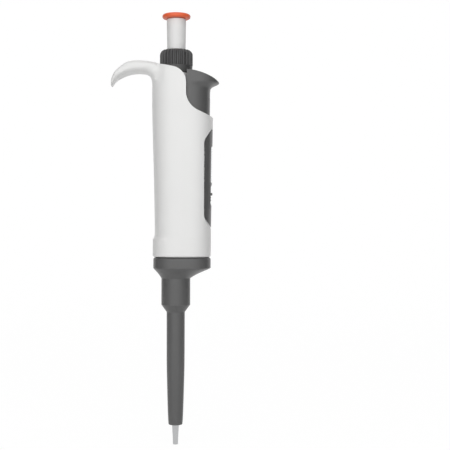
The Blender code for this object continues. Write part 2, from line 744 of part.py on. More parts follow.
def make_hook():
    """Curved finger hook, thin at its tip and as wide as the tower at its root."""
    rings = []
    for outer, inner, half_width in HOOK_STATIONS:
        middle = (Vector(outer) + Vector(inner)) / 2
        arm = (Vector(outer) - Vector(inner)) / 2
        points = []
        for index in range(HOOK_POINTS):
            angle = tau * index / HOOK_POINTS
            across = signed_power(cos(angle), 2 / HOOK_POWER) * half_width
            place = middle + arm * signed_power(sin(angle), 2 / HOOK_POWER)
            points.append(Vector((place.x, across, SEAT_HEIGHT + place.y)))
        rings.append(points)
    return lofted("finger_hook", rings, BASE)


def panel_outline(inset):
    """Side view of the display panel's edge, open-ended past the handle's front."""
    bottom = HANDLE_BOTTOM + PANEL_BOTTOM + inset
    top = HANDLE_BOTTOM + PANEL_BOTTOM + PANEL_HEIGHT - inset
    corner = PANEL_CORNER - inset
    back = PANEL_BACK + inset
    return rounded([(PAST, bottom, 0.0), (back, bottom, corner), (back, top, corner), (PAST, top, 0.0)])


def window_heights():
    return TENTHS_BOTTOM - WINDOW_MARGIN, TENS_TOP + WINDOW_MARGIN


def make_panel():
    """Dark display panel, flush in the shell's opening, with the scoop and rails for the lock."""
    low = HANDLE_BOTTOM + PANEL_BOTTOM - SHELL_WALL
    high = HANDLE_BOTTOM + PANEL_BOTTOM + PANEL_HEIGHT + SHELL_WALL
    panel = handle_form("display_panel", 0.0, low, high, BASE, "dark_plastic")
    edge = flat("panel_edge", [panel_outline(REST_GAP)], -PAST, PAST, BASE, sideways=True)
    combine(panel, edge, "INTERSECT")
    hollow = handle_form("panel_hollow", SHELL_WALL, low - SHELL_WALL, high + SHELL_WALL, BASE)
    combine(panel, hollow, "DIFFERENCE")

    scoop_bottom = HANDLE_BOTTOM + SCOOP_BOTTOM
    scoop_top = scoop_bottom + SCOOP_HEIGHT
    front = handle_row(SCOOP_BOTTOM + SCOOP_HEIGHT / 2)[1]
    pad_low = scoop_bottom - LOCK_PAD_MARGIN
    pad_high = scoop_top + LOCK_PAD_MARGIN
    pad_front = front - SHELL_WALL / 2
    rail_back = LOCK_PAD_BACK - REST_GAP - LOCK_PLATE_THICKNESS
    pad_side = LOCK_PAD_HALF_WIDTH
    pad = box("lock_pad", (LOCK_PAD_BACK, -pad_side, pad_low), (pad_front, pad_side, pad_high), BASE)
    combine(panel, pad, "UNION")
    for hand in (-1, 1):
        edges = sorted((hand * pad_side, hand * (pad_side - LOCK_RAIL_WIDTH)))
        rail = box(
            f"lock_rail_{hand}",
            (rail_back, edges[0], pad_low),
            (LOCK_PAD_BACK + REST_GAP, edges[1], pad_high),
            BASE,
        )
        combine(panel, rail, "UNION")

    radius = ((SCOOP_HEIGHT / 2) ** 2 + SCOOP_DEPTH**2) / (2 * SCOOP_DEPTH)
    scoop_x = front - SCOOP_DEPTH + radius
    scoop_middle = (scoop_bottom + scoop_top) / 2
    scoop = crosswise_cylinder("lock_scoop", radius, SCOOP_HALF_WIDTH, scoop_x, scoop_middle, BASE)
    combine(panel, scoop, "DIFFERENCE")
    button_low = scoop_bottom + LOCK_BUTTON_DROP
    slot_half = LOCK_BUTTON_HALF_WIDTH + SLIDE_GAP
    slot = box(
        "lock_slot",
        (rail_back, -slot_half, button_low - SLIDE_GAP),
        (PAST, slot_half, button_low + LOCK_BUTTON_HEIGHT + LOCK_TRAVEL + SLIDE_GAP),
        BASE,
    )
    combine(panel, slot, "DIFFERENCE")
    window_low, window_high = window_heights()
    window = box(
        "window_opening",
        (TOWER_FRONT, -WINDOW_HALF_WIDTH - REST_GAP, window_low - REST_GAP),
        (PAST, WINDOW_HALF_WIDTH + REST_GAP, window_high + REST_GAP),
        BASE,
    )
    combine(panel, window, "DIFFERENCE")


def make_lens():
    window_low, window_high = window_heights()
    lens = handle_form("window_lens", LENS_RECESS, window_low, window_high, BASE, "clear_plastic")
    low = window_low - SHELL_WALL
    high = window_high + SHELL_WALL
    hollow = handle_form("lens_hollow", LENS_RECESS + LENS_THICKNESS, low, high, BASE)
    combine(lens, hollow, "DIFFERENCE")
    frame = box(
        "lens_edge",
        (TOWER_FRONT, -WINDOW_HALF_WIDTH, low),
        (PAST, WINDOW_HALF_WIDTH, high),
        BASE,
    )
    combine(lens, frame, "INTERSECT")


def make_lock():
    """Lock slider: a guided plate, a ribbed thumb button and a finger for the lock wheel."""
    plate_front = LOCK_PAD_BACK - REST_GAP
    plate_back = plate_front - LOCK_PLATE_THICKNESS
    button_low = HANDLE_BOTTOM + SCOOP_BOTTOM + LOCK_BUTTON_DROP
    button_high = button_low + LOCK_BUTTON_HEIGHT
    finger_high = WHEEL_BOTTOM - LOCK_TRAVEL + LOCK_ENGAGEMENT
    half_width = LOCK_PAD_HALF_WIDTH - LOCK_RAIL_WIDTH - SLIDE_GAP
    overlap = LOCK_PLATE_THICKNESS / 2
    slider = box(
        "lock_slider",
        (plate_back, -half_width, button_low - LOCK_PLATE_DROP),
        (plate_front, half_width, finger_high),
        LOCK,
        "dark_plastic",
    )
    side = [
        (plate_front - overlap, button_low),
        (LOCK_RIB_FRONT, button_low),
        (LOCK_RIB_FRONT, button_low + LOCK_RIB_HEIGHT),
        (LOCK_BUTTON_FRONT, button_low + LOCK_RIB_HEIGHT),
    ]
    second = button_low + (LOCK_BUTTON_HEIGHT - LOCK_TAB_HEIGHT + LOCK_RIB_HEIGHT) / 2
    side += [
        (LOCK_BUTTON_FRONT, second - LOCK_RIB_HEIGHT / 2),
        (LOCK_RIB_FRONT, second - LOCK_RIB_HEIGHT / 2),
        (LOCK_RIB_FRONT, second + LOCK_RIB_HEIGHT / 2),
        (LOCK_BUTTON_FRONT, second + LOCK_RIB_HEIGHT / 2),
        (LOCK_BUTTON_FRONT, button_high - LOCK_TAB_HEIGHT),
        (LOCK_TAB_FRONT, button_high - LOCK_TAB_HEIGHT),
        (LOCK_TAB_FRONT, button_high),
        (plate_front - overlap, button_high),
    ]
    button = flat("lock_button", [side], -LOCK_BUTTON_HALF_WIDTH, LOCK_BUTTON_HALF_WIDTH, LOCK, sideways=True)
    combine(slider, button, "UNION")
    finger = box(
        "lock_finger",
        (COUNTER_X + LOCK_WHEEL_ROOT + REST_GAP, -LOCK_FINGER_WIDTH / 2, finger_high - LOCK_FINGER_HEIGHT),
        (plate_back + overlap, LOCK_FINGER_WIDTH / 2, finger_high),
        LOCK,
    )
    combine(slider, finger, "UNION")


def make_chassis():
    """Frame of the mechanism: foot plate, guide column, screw posts and the threaded spigot below."""
    chassis = handle_form("chassis", SHELL_WALL + REST_GAP, FOOT_BOTTOM, FOOT_TOP, BASE, "black_plastic")
    inside_foot = FOOT_TOP - FOOT_THICKNESS / 2
    column = solid("guide_column", COLUMN_RADIUS, inside_foot, COLUMN_TOP, BASE, steps=FINE)
    combine(chassis, column, "UNION")
    spigot = solid("spigot", SPIGOT_RADIUS, SPIGOT_BOTTOM, inside_foot, BASE)
    combine(chassis, spigot, "UNION")
    for hand in (-1, 1):
        post = solid(
            f"screw_post_{hand}",
            POST_RADIUS,
            inside_foot,
            COLUMN_TOP,
            BASE,
            x=POST_X,
            y=hand * POST_Y,
            steps=COARSE,
        )
        combine(chassis, post, "UNION")
    bore = turned(
        "column_bore",
        [
            (0.0, PLATE_BOTTOM),
            (COLUMN_BORE, PLATE_BOTTOM),
            (COLUMN_BORE, FOOT_TOP),
            (SETTING_BORE, FOOT_TOP),
            (SETTING_BORE, SHAFT_TOP),
            (0.0, SHAFT_TOP),
        ],
        BASE,
    )
    combine(chassis, bore, "DIFFERENCE")
    for hand in (-1, 1):
        hole = solid(
            f"screw_hole_{hand}",
            SCREW_RADIUS + REST_GAP,
            PLATE_TOP - SCREW_LENGTH - REST_GAP,
            PLATE_BOTTOM,
            BASE,
            x=POST_X,
            y=hand * POST_Y,
            steps=COARSE,
        )
        combine(chassis, hole, "DIFFERENCE")
    rod_hole = solid(
        "rod_hole",
        EJECTOR_ROD_RADIUS + SLIDE_GAP,
        SHAFT_TOP,
        FOOT_TOP + REST_GAP,
        BASE,
        x=EJECTOR_X,
        y=EJECTOR_Y,
        steps=COARSE,
    )
    combine(chassis, rod_hole, "DIFFERENCE")


def screw_profile(bottom, seat):
    top = seat + SCREW_HEAD_HEIGHT
    head = [(0.0, top), (SCREW_HEAD_RADIUS, top), (SCREW_HEAD_RADIUS, seat)]
    return head + [(SCREW_RADIUS, seat), (SCREW_RADIUS, bottom), (0.0, bottom)]


def make_chassis_screws():
    """Two pan-head screws that hold the counter's frame on the guide column."""
    profile = screw_profile(PLATE_TOP - SCREW_LENGTH, PLATE_TOP + REST_GAP)
    turned("chassis_screw_near", profile, BASE, "steel", x=POST_X, y=-POST_Y, steps=COARSE)
    turned("chassis_screw_far", profile, BASE, "steel", x=POST_X, y=POST_Y, steps=COARSE)


def make_counter_frame():
    """Bracket with two plates and a web, which carries the counter's shafts."""
    web_back = -COUNTER_WEB_BACK
    web_front = web_back + COUNTER_WEB
    side = [
        (web_back, PLATE_BOTTOM),
        (COUNTER_PLATE_FRONT, PLATE_BOTTOM),
        (COUNTER_PLATE_FRONT, PLATE_TOP),
        (web_front, PLATE_TOP),
        (web_front, ROOF_PLATE_BOTTOM),
        (COUNTER_PLATE_FRONT, ROOF_PLATE_BOTTOM),
        (COUNTER_PLATE_FRONT, ROOF_PLATE_TOP),
        (web_back, ROOF_PLATE_TOP),
    ]
    near = -COUNTER_PLATE_NEAR
    frame = flat("counter_frame", [side], near, COUNTER_PLATE_FAR, BASE, "black_plastic", sideways=True)
    room = handle_form("frame_room", SHELL_WALL + REST_GAP, COLUMN_TOP, ROOF_PLATE_TOP + REST_GAP, BASE)
    combine(frame, room, "INTERSECT")
    low = PLATE_BOTTOM - REST_GAP
    middle = PLATE_TOP + REST_GAP
    high = ROOF_PLATE_TOP + REST_GAP
    holes = (
        ("drive_hole", SETTING_RADIUS + RUN_GAP, 0.0, 0.0, low, middle),
        ("drive_bearing", DRIVE_RADIUS + RUN_GAP, 0.0, 0.0, middle, high),
        ("shaft_seat", COUNTER_SHAFT_RADIUS + REST_GAP, COUNTER_X, 0.0, low, high),
        ("pinion_shaft_seat", PINION_SHAFT_RADIUS + REST_GAP, PINION_X, PINION_Y, low, high),
        ("screw_seat_near", SCREW_RADIUS + REST_GAP, POST_X, -POST_Y, low, middle),
        ("screw_seat_far", SCREW_RADIUS + REST_GAP, POST_X, POST_Y, low, middle),
    )
    for name, radius, x, y, bottom, top in holes:
        hole = solid(name, radius, bottom, top, BASE, x=x, y=y, steps=COARSE)
        combine(frame, hole, "DIFFERENCE")


def make_counter_shafts():
    for name, radius, x, y in (
        ("counter_shaft", COUNTER_SHAFT_RADIUS, COUNTER_X, 0.0),
        ("pinion_shaft", PINION_SHAFT_RADIUS, PINION_X, PINION_Y),
    ):
        solid(name, radius, PLATE_BOTTOM + REST_GAP, ROOF_PLATE_TOP, BASE, "steel", x=x, y=y, steps=COARSE)


def make_drum(name, carrier, band_bottom, gear_low, gear_high, gear_shape, has_carry):
    """Number drum on the counter's shaft, with its gear below and a carry tooth on top."""
    band_top = band_bottom + DRUM_BAND
    bore = COUNTER_SHAFT_RADIUS + RUN_GAP
    profile = [
        (DRUM_RADIUS, band_top),
        (DRUM_RADIUS, band_bottom),
        (DRUM_HUB_RADIUS, band_bottom),
        (DRUM_HUB_RADIUS, gear_low + REST_GAP),
        (bore, gear_low + REST_GAP),
        (bore, band_top),
    ]
    drum = turned(name, profile, carrier, "white_plastic", x=COUNTER_X, steps=FINE)
    hole = circle_outline((bore + DRUM_HUB_RADIUS) / 2)
    gear = flat(f"{name}_gear", [gear_shape, hole], gear_low, gear_high, carrier, x=COUNTER_X)
    combine(drum, gear, "UNION")
    if has_carry:
        height = DRUM_SPACE - TRANSFER_HEIGHT - REST_GAP
        low = band_top - REST_GAP
        tooth = flat(f"{name}_carry", [carry_outline()], low, band_top + height, carrier, x=COUNTER_X)
        combine(drum, tooth, "UNION")


def carry_outline():
    """A short ring sector, which carries the next drum once a turn."""
    inner = CARRY_RADIUS - CARRY_DEPTH
    arc = [PINION_DIRECTION + pi / 2 + CARRY_HALF_ANGLE * step for step in (-1, 0, 1)]
    outside = [(CARRY_RADIUS * cos(angle), CARRY_RADIUS * sin(angle)) for angle in arc]
    inside = [(inner * cos(angle), inner * sin(angle)) for angle in reversed(arc)]
    return outside + inside


def make_drums():
    driven = gear_outline(DRIVE_TEETH, DRIVE_MODULE, pi + pi / DRIVE_TEETH)
    make_drum("drum_tenths", DRUM_1, TENTHS_BOTTOM, GEAR_BOTTOM, GEAR_TOP, driven, True)
    transfer = gear_outline(TRANSFER_TEETH, TRANSFER_MODULE, PINION_DIRECTION)
    for name, carrier, bottom, has_carry in (
        ("drum_units", DRUM_2, UNITS_BOTTOM, True),
        ("drum_tens", DRUM_3, TENS_BOTTOM, False),
    ):
        inside_band = bottom + DRUM_BAND / 2
        make_drum(name, carrier, bottom, bottom - TRANSFER_HEIGHT, inside_band, transfer, has_carry)


def make_lock_wheel():
    """Slotted wheel under the lowest drum. One slot faces the lock's finger at each whole setting."""
    points = []
    for index in range(LOCK_WHEEL_TEETH):
        middle = tau * (index + 0.5) / LOCK_WHEEL_TEETH
        half_tip = LOCK_WHEEL_TOOTH_SHARE * pi / LOCK_WHEEL_TEETH
        half_root = half_tip * LOCK_WHEEL_TOOTH_FLARE
        for radius, angle in (
            (LOCK_WHEEL_ROOT, middle - half_root),
            (LOCK_WHEEL_RADIUS, middle - half_tip),
            (LOCK_WHEEL_RADIUS, middle + half_tip),
            (LOCK_WHEEL_ROOT, middle + half_root),
        ):
            points.append((radius * cos(angle), radius * sin(angle)))
    hole = circle_outline(COUNTER_SHAFT_RADIUS + RUN_GAP)
    flat("lock_wheel", [points, hole], WHEEL_BOTTOM, WHEEL_TOP, DRUM_1, "brass", x=COUNTER_X)


def make_pinions():
    """Two small pinions on their own shaft, which turn each next drum a tenth as fast."""
    bore = PINION_SHAFT_RADIUS + RUN_GAP
    phase = PINION_DIRECTION + pi + pi / PINION_TEETH
    for name, carrier, next_bottom in (
        ("carry_pinion_lower", PINION_1, UNITS_BOTTOM),
        ("carry_pinion_upper", PINION_2, TENS_BOTTOM),
    ):
        low = next_bottom - DRUM_SPACE + REST_GAP
        high = next_bottom - REST_GAP
        outline = gear_outline(PINION_TEETH, TRANSFER_MODULE, phase)
        hole = circle_outline((bore + PINION_HUB_RADIUS) / 2)
        teeth_low = high - PINION_TOOTH_HEIGHT
        teeth = flat(f"{name}_teeth", [outline, hole], teeth_low, high, carrier, x=PINION_X, y=PINION_Y)
        pinion = ring(
            name,
            bore,
            PINION_HUB_RADIUS,
            low,
            high,
            carrier,
            "acetal",
            x=PINION_X,
            y=PINION_Y,
            steps=COARSE,
        )
        combine(pinion, teeth, "UNION")


def make_knob():
    """Ribbed volume knob with a plain band below, hollow for the drive sleeve and the stem."""
    shoulder = KNOB_TOP - KNOB_SHOULDER
    crown = KNOB_RADIUS - KNOB_SHOULDER
    band = KNOB_RADIUS - KNOB_BAND_INSET
    edge = KNOB_BAND_INSET
    rows = [
        (KNOB_BOTTOM, band - edge, 0.0),
        (KNOB_BOTTOM + edge, band, 0.0),
        (KNOB_BOTTOM + KNOB_BAND - edge, band, 0.0),
        (KNOB_BOTTOM + KNOB_BAND, KNOB_RADIUS, KNOB_RIB_DEPTH),
        (shoulder, KNOB_RADIUS, KNOB_RIB_DEPTH),
    ]
    for degrees, depth_share in KNOB_SHOULDER_SHAPE:
        angle = radians(degrees)
        radius = crown + KNOB_SHOULDER * cos(angle)
        rows.append((shoulder + KNOB_SHOULDER * sin(angle), radius, KNOB_RIB_DEPTH * depth_share))
    rows += [
        (KNOB_TOP, CUP_BORE, 0.0),
        (KNOB_TOP - KNOB_LIP, CUP_BORE, 0.0),
        (KNOB_TOP - KNOB_LIP, CUP_RADIUS + REST_GAP, 0.0),
        (KNOB_BOTTOM, CUP_RADIUS + REST_GAP, 0.0),
    ]
    rings = []
    for height, radius, depth in rows:
        points = []
        for rib in range(KNOB_RIBS):
            for share, groove in KNOB_RIB_SHAPE:
                angle = tau * (rib + share) / KNOB_RIBS
                reach = radius - depth * groove
                points.append(Vector((reach * cos(angle), reach * sin(angle), height)))
        rings.append(points)
    lofted("adjusting_knob", rings, KNOB, "dark_plastic", closed=True)


def make_drive_sleeve():
    """Sleeve turned by the knob: bearing cup, long tube, and two tongues for the setting sleeve."""
    groove = CLIP_BORE - REST_GAP
    profile = [
        (CUP_RADIUS, CUP_TOP),
        (CUP_RADIUS, CLIP_TOP + REST_GAP),
        (groove, CLIP_TOP + REST_GAP),
        (groove, CLIP_BOTTOM - REST_GAP),
        (CUP_RADIUS, CLIP_BOTTOM - REST_GAP),
        (CUP_RADIUS, CUP_BOTTOM),
        (DRIVE_RADIUS, CUP_BOTTOM),
        (DRIVE_RADIUS, DRIVE_FLANGE_TOP),
        (SETTING_RADIUS, DRIVE_FLANGE_TOP),
        (SETTING_RADIUS, DRIVE_FLANGE_BOTTOM),
        (DRIVE_RADIUS, DRIVE_FLANGE_BOTTOM),
        (DRIVE_RADIUS, DRIVE_END),
        (ROD_BORE, DRIVE_END),
        (ROD_BORE, CUP_FLOOR_TOP),
        (CUP_BORE, CUP_FLOOR_TOP),
        (CUP_BORE, CUP_TOP),
    ]
    sleeve = turned("drive_sleeve", profile, KNOB, "acetal")
    tongues = ring(
        "drive_tongues",
        SETTING_BORE,
        SETTING_RADIUS,
        DRIVE_FLANGE_BOTTOM - TONGUE_LENGTH,
        DRIVE_FLANGE_BOTTOM + DRIVE_FLANGE / 2,
        KNOB,
    )
    reach = 2 * SETTING_RADIUS
    strip = box(
        "tongue_strip",
        (-reach, -TONGUE_WIDTH / 2, STOP_BUSH_BOTTOM),
        (reach, TONGUE_WIDTH / 2, DRIVE_FLANGE_TOP),
        KNOB,
    )
    combine(tongues, strip, "INTERSECT")
    combine(sleeve, tongues, "UNION")


def make_knob_pieces():
    make_knob()
    make_drive_sleeve()
    outline = gear_outline(DRIVE_TEETH, DRIVE_MODULE, 0.0)
    hole = circle_outline(DRIVE_RADIUS + REST_GAP)
    flat("drive_gear", [outline, hole], GEAR_BOTTOM, GEAR_TOP, KNOB, "brass")
    clip = ring("knob_clip", CLIP_BORE, CLIP_RADIUS, CLIP_BOTTOM, CLIP_TOP, KNOB, "steel")
    gap = box(
        "clip_gap",
        (0.0, -CLIP_GAP / 2, CLIP_BOTTOM - REST_GAP),
        (2 * CLIP_RADIUS, CLIP_GAP / 2, CLIP_TOP + REST_GAP),
        KNOB,
    )
    combine(clip, gap, "DIFFERENCE")
    ring("top_bush", BUSH_BORE, BUSH_RADIUS, BUSH_BOTTOM, POCKET_FLOOR, BASE, "acetal", steps=FINE)


def make_setting_pieces():
    """Floating carriage, setting sleeve and the threaded stop bush that the sleeve screws up and down."""
    carriage = turned(
        "overshoot_carriage",
        [
            (CARRIAGE_RADIUS, CARRIAGE_TOP),
            (CARRIAGE_RADIUS, CARRIAGE_BOTTOM),
            (ROD_BORE, CARRIAGE_BOTTOM),
            (ROD_BORE, CARRIAGE_BOTTOM + CARRIAGE_FLOOR),
            (CARRIAGE_BORE, CARRIAGE_BOTTOM + CARRIAGE_FLOOR),
            (CARRIAGE_BORE, CARRIAGE_TOP),
        ],
        CARRIAGE,
        "acetal",
    )
    lug_reach = STOP_BUSH_RADIUS + SLIDE_GAP
    lug_half = LUG_WIDTH / 2 + SLIDE_GAP
    slots = box(
        "lug_slots",
        (-lug_half, -lug_reach, CARRIAGE_BOTTOM - REST_GAP),
        (lug_half, lug_reach, CARRIAGE_BOTTOM + CARRIAGE_FLOOR + REST_GAP),
        CARRIAGE,
    )
    combine(carriage, slots, "DIFFERENCE")

    setting = ring(
        "setting_sleeve", SETTING_BORE, SETTING_RADIUS, SETTING_BOTTOM, SETTING_TOP, SETTING, "brass"
    )
    reach = 2 * SETTING_RADIUS
    half = TONGUE_WIDTH / 2 + SLIDE_GAP
    slot_top = SETTING_TOP + REST_GAP
    slot_bottom = slot_top - TONGUE_LENGTH - SLIDE_GAP
    tongue_slots = box("tongue_slots", (-reach, -half, slot_bottom), (reach, half, slot_top), SETTING)
    combine(setting, tongue_slots, "DIFFERENCE")

    bush = ring("stop_bush", ROD_BORE, STOP_BUSH_RADIUS, STOP_BUSH_BOTTOM, STOP_BUSH_TOP, STOP, "steel")
    lugs = ring(
        "stop_lugs",
        ROD_BORE,
        STOP_BUSH_RADIUS,
        STOP_BUSH_BOTTOM - LUG_LENGTH,
        STOP_BUSH_BOTTOM + STOP_BUSH_HEIGHT / 2,
        STOP,
    )
    strip = box(
        "lug_strip",
        (-LUG_WIDTH / 2, -reach, SPIGOT_BOTTOM),
        (LUG_WIDTH / 2, reach, STOP_BUSH_TOP),
        STOP,
    )
    combine(lugs, strip, "INTERSECT")
    combine(bush, lugs, "UNION")


def make_plunger_pieces():
    """Push button, stem, rod, stop collar, piston holder and piston."""
    flat_radius = CAP_RADIUS - CAP_EDGE
    arc = [(pi / 2 * (1 - step / 4)) for step in range(5)]
    edge = [
        (flat_radius + CAP_EDGE * cos(angle), CAP_TOP - CAP_EDGE + CAP_EDGE * sin(angle)) for angle in arc
    ]
    turned(
        "button_cap",
        [(0.0, CAP_TOP)]
        + edge
        + [
            (CAP_RADIUS, CAP_BOTTOM + REST_GAP),
            (CAP_RADIUS - REST_GAP, CAP_BOTTOM),
            (CAP_PIN_RADIUS, CAP_BOTTOM),
            (CAP_PIN_RADIUS, CAP_BOTTOM - CAP_PIN_LENGTH),
            (0.0, CAP_BOTTOM - CAP_PIN_LENGTH),
        ],
        PLUNGER,
        "orange_plastic",
    )
    socket = CAP_PIN_RADIUS + REST_GAP
    turned(
        "button_stem",
        [
            (STEM_TOP_RADIUS, STEM_TOP),
            (STEM_TOP_RADIUS, STEM_TOP - CAP_PIN_LENGTH),
            (STEM_FOOT_RADIUS, KNOB_TOP + CAP_MARGIN),
            (STEM_FOOT_RADIUS, STEM_BOTTOM),
            (ROD_RADIUS + REST_GAP, STEM_BOTTOM),
            (ROD_RADIUS + REST_GAP, ROD_TOP + REST_GAP),
            (socket, ROD_TOP + REST_GAP),
            (socket, STEM_TOP),
        ],
        PLUNGER,
        "white_plastic",
    )
    solid("plunger_rod", ROD_RADIUS, HOLDER_TOP + REST_GAP, ROD_TOP, PLUNGER, "steel", steps=COARSE)
    ring(
        "stop_collar",
        ROD_BORE,
        STOP_COLLAR_RADIUS,
        STOP_COLLAR_BOTTOM,
        STOP_COLLAR_TOP,
        PLUNGER,
        "steel",
        steps=COARSE,
    )
    turned(
        "piston_holder",
        [
            (0.0, HOLDER_TOP),
            (NOZZLE_HEAD_RADIUS, HOLDER_TOP),
            (NOZZLE_HEAD_RADIUS, HOLDER_BOTTOM),
            (PISTON_BORE, HOLDER_BOTTOM),
            (PISTON_BORE, HOLDER_BOTTOM + HOLDER_SOCKET),
            (0.0, HOLDER_BOTTOM + HOLDER_SOCKET),
        ],
        PLUNGER,
        "acetal",
        steps=COARSE,
    )
    piston_end = NOZZLE_MOUTH_LENGTH + PISTON_END_MARGIN + STROKE + BLOW_OUT
    piston_top = HOLDER_BOTTOM + HOLDER_SOCKET - REST_GAP
    solid("piston", PISTON_RADIUS, piston_end, piston_top, PLUNGER, "steel", steps=COARSE)


def make_lower_end():
    """Steel nozzle, its shaft and nut, and the piston's seal."""
    head_bottom = SLEEVE_BOTTOM + SHAFT_START + SHAFT_LIP + REST_GAP
    head_top = head_bottom + NOZZLE_HEAD_HEIGHT
    pocket = SEAL_RADIUS + REST_GAP
    pocket_floor = head_top - SEAL_HEIGHT - 2 * O_RING_SECTION - 3 * REST_GAP
    turned(
        "nozzle",
        [
            (NOZZLE_HEAD_RADIUS, head_top),
            (NOZZLE_HEAD_RADIUS, head_bottom),
            (NOZZLE_SHANK_RADIUS, head_bottom),
            (NOZZLE_SHANK_RADIUS, NOZZLE_EXPOSED + NOZZLE_SHOULDER),
            (NOZZLE_EXIT_RADIUS, NOZZLE_EXPOSED),
            (NOZZLE_END_RADIUS, 0.0),
            (NOZZLE_MOUTH_RADIUS, 0.0),
            (NOZZLE_MOUTH_RADIUS, NOZZLE_MOUTH_LENGTH),
            (PISTON_BORE, NOZZLE_MOUTH_LENGTH),
            (PISTON_BORE, pocket_floor),
            (pocket, pocket_floor),
            (pocket, head_top),
        ],
        BASE,
        "steel",
        steps=COARSE,
    )
    seal_bottom = pocket_floor + REST_GAP
    seal_top = seal_bottom + SEAL_HEIGHT
    ring("piston_seal", PISTON_BORE, SEAL_RADIUS, seal_bottom, seal_top, BASE, "seal_plastic", steps=COARSE)
    centre = SEAL_RADIUS - O_RING_SECTION
    height = seal_top + REST_GAP + O_RING_SECTION
    section = [
        (centre + O_RING_SECTION * cos(angle), height + O_RING_SECTION * sin(angle))
        for angle in (-tau * step / 8 for step in range(8))
    ]
    turned("o_ring", section, BASE, "rubber", steps=COARSE)
    retainer_bottom = head_top + REST_GAP
    retainer_top = retainer_bottom + RETAINER_HEIGHT
    ring(
        "seal_retainer",
        PISTON_BORE,
        NOZZLE_HEAD_RADIUS,
        retainer_bottom,
        retainer_top,
        BASE,
        "acetal",
        steps=COARSE,
    )
    shaft_bottom = SLEEVE_BOTTOM + SHAFT_START
    turned(
        "lower_shaft",
        [
            (SPIGOT_RADIUS, SHAFT_TOP),
            (SPIGOT_RADIUS, SHAFT_TOP - SHAFT_FLANGE),
            (SHAFT_RADIUS, SHAFT_TOP - SHAFT_FLANGE),
            (SHAFT_RADIUS, shaft_bottom),
            (NOZZLE_SHANK_RADIUS + REST_GAP, shaft_bottom),
            (NOZZLE_SHANK_RADIUS + REST_GAP, shaft_bottom + SHAFT_LIP),
            (SHAFT_BORE, shaft_bottom + SHAFT_LIP),
            (SHAFT_BORE, SHAFT_TOP),
        ],
        BASE,
        "black_plastic",
        steps=COARSE,
    )
    lip_top = SHAFT_TOP - SHAFT_FLANGE - REST_GAP
    nut_bottom = lip_top - NUT_LIP
    turned(
        "shaft_nut",
        [
            (NUT_RADIUS, nut_bottom + NUT_HEIGHT),
            (NUT_RADIUS, nut_bottom),
            (SHAFT_RADIUS + REST_GAP, nut_bottom),
            (SHAFT_RADIUS + REST_GAP, lip_top),
            (NUT_BORE, lip_top),
            (NUT_BORE, nut_bottom + NUT_HEIGHT),
        ],
        BASE,
        "black_plastic",
    )
    return retainer_top


def sleeve_outline():
    """The ejector sleeve's round lower part: height and outer radius, up to its neck."""
    widening = SLEEVE_TUBE_RADIUS - SLEEVE_END_RADIUS
    foot = [
        (SLEEVE_BOTTOM + rise * SLEEVE_FOOT, SLEEVE_END_RADIUS + spread * widening)
        for rise, spread in SLEEVE_FOOT_SHAPE
    ]
    return foot + [(SLEEVE_CONE_BOTTOM, SLEEVE_TUBE_RADIUS), (SLEEVE_NECK_BOTTOM, SLEEVE_NECK_RADIUS)]


def make_sleeve():
    """Ejector sleeve: slim tube, cone and neck, and the oval collar that meets the handle."""
    outline = sleeve_outline()
    rings = [oval_ring(-radius, radius, radius, height, 2) for height, radius in outline]
    neck = SLEEVE_NECK_RADIUS
    back, front, half_depth = handle_row(HANDLE_PROFILE[1][0])
    rim = (back + SLEEVE_RIM_INSET, front - SLEEVE_RIM_INSET, half_depth - SLEEVE_RIM_INSET)
    for share, spread in SLEEVE_FLARE_SHAPE:
        rings.append(
            oval_ring(
                -neck + (rim[0] + neck) * spread,
                neck + (rim[1] - neck) * spread,
                neck + (rim[2] - neck) * spread,
                SLEEVE_FLARE_BOTTOM + SLEEVE_FLARE * share,
                2 + (HANDLE_POWER - 2) * spread,
            )
        )
    edge = SLEEVE_RIM_EDGE
    bevel = (
        (SLEEVE_RIM_BOTTOM, 0.0),
        (SLEEVE_TOP - edge, 0.0),
        (SLEEVE_TOP - edge / 3, edge / 3),
        (SLEEVE_TOP, edge),
    )
    for height, inset in bevel:
        rings.append(oval_ring(rim[0] + inset, rim[1] - inset, rim[2] - inset, height, HANDLE_POWER))
    sleeve = lofted("ejector_sleeve", rings, EJECTOR, "dark_plastic")

    inner = [(radius - SLEEVE_WALL, height) for height, radius in reversed(outline)]
    bore = turned(
        "sleeve_bore",
        [(0.0, HANDLE_BOTTOM), (SLEEVE_CAVITY, HANDLE_BOTTOM)]
        + inner
        + [(SLEEVE_END_RADIUS - SLEEVE_WALL, 0.0), (0.0, 0.0)],
        EJECTOR,
    )
    combine(sleeve, bore, "DIFFERENCE")
    socket = solid(
        "rod_socket",
        EJECTOR_ROD_RADIUS + REST_GAP,
        SLEEVE_TOP - SLEEVE_SOCKET,
        HANDLE_BOTTOM,
        EJECTOR,
        x=EJECTOR_X,
        y=EJECTOR_Y,
        steps=COARSE,
    )
    combine(sleeve, socket, "DIFFERENCE")


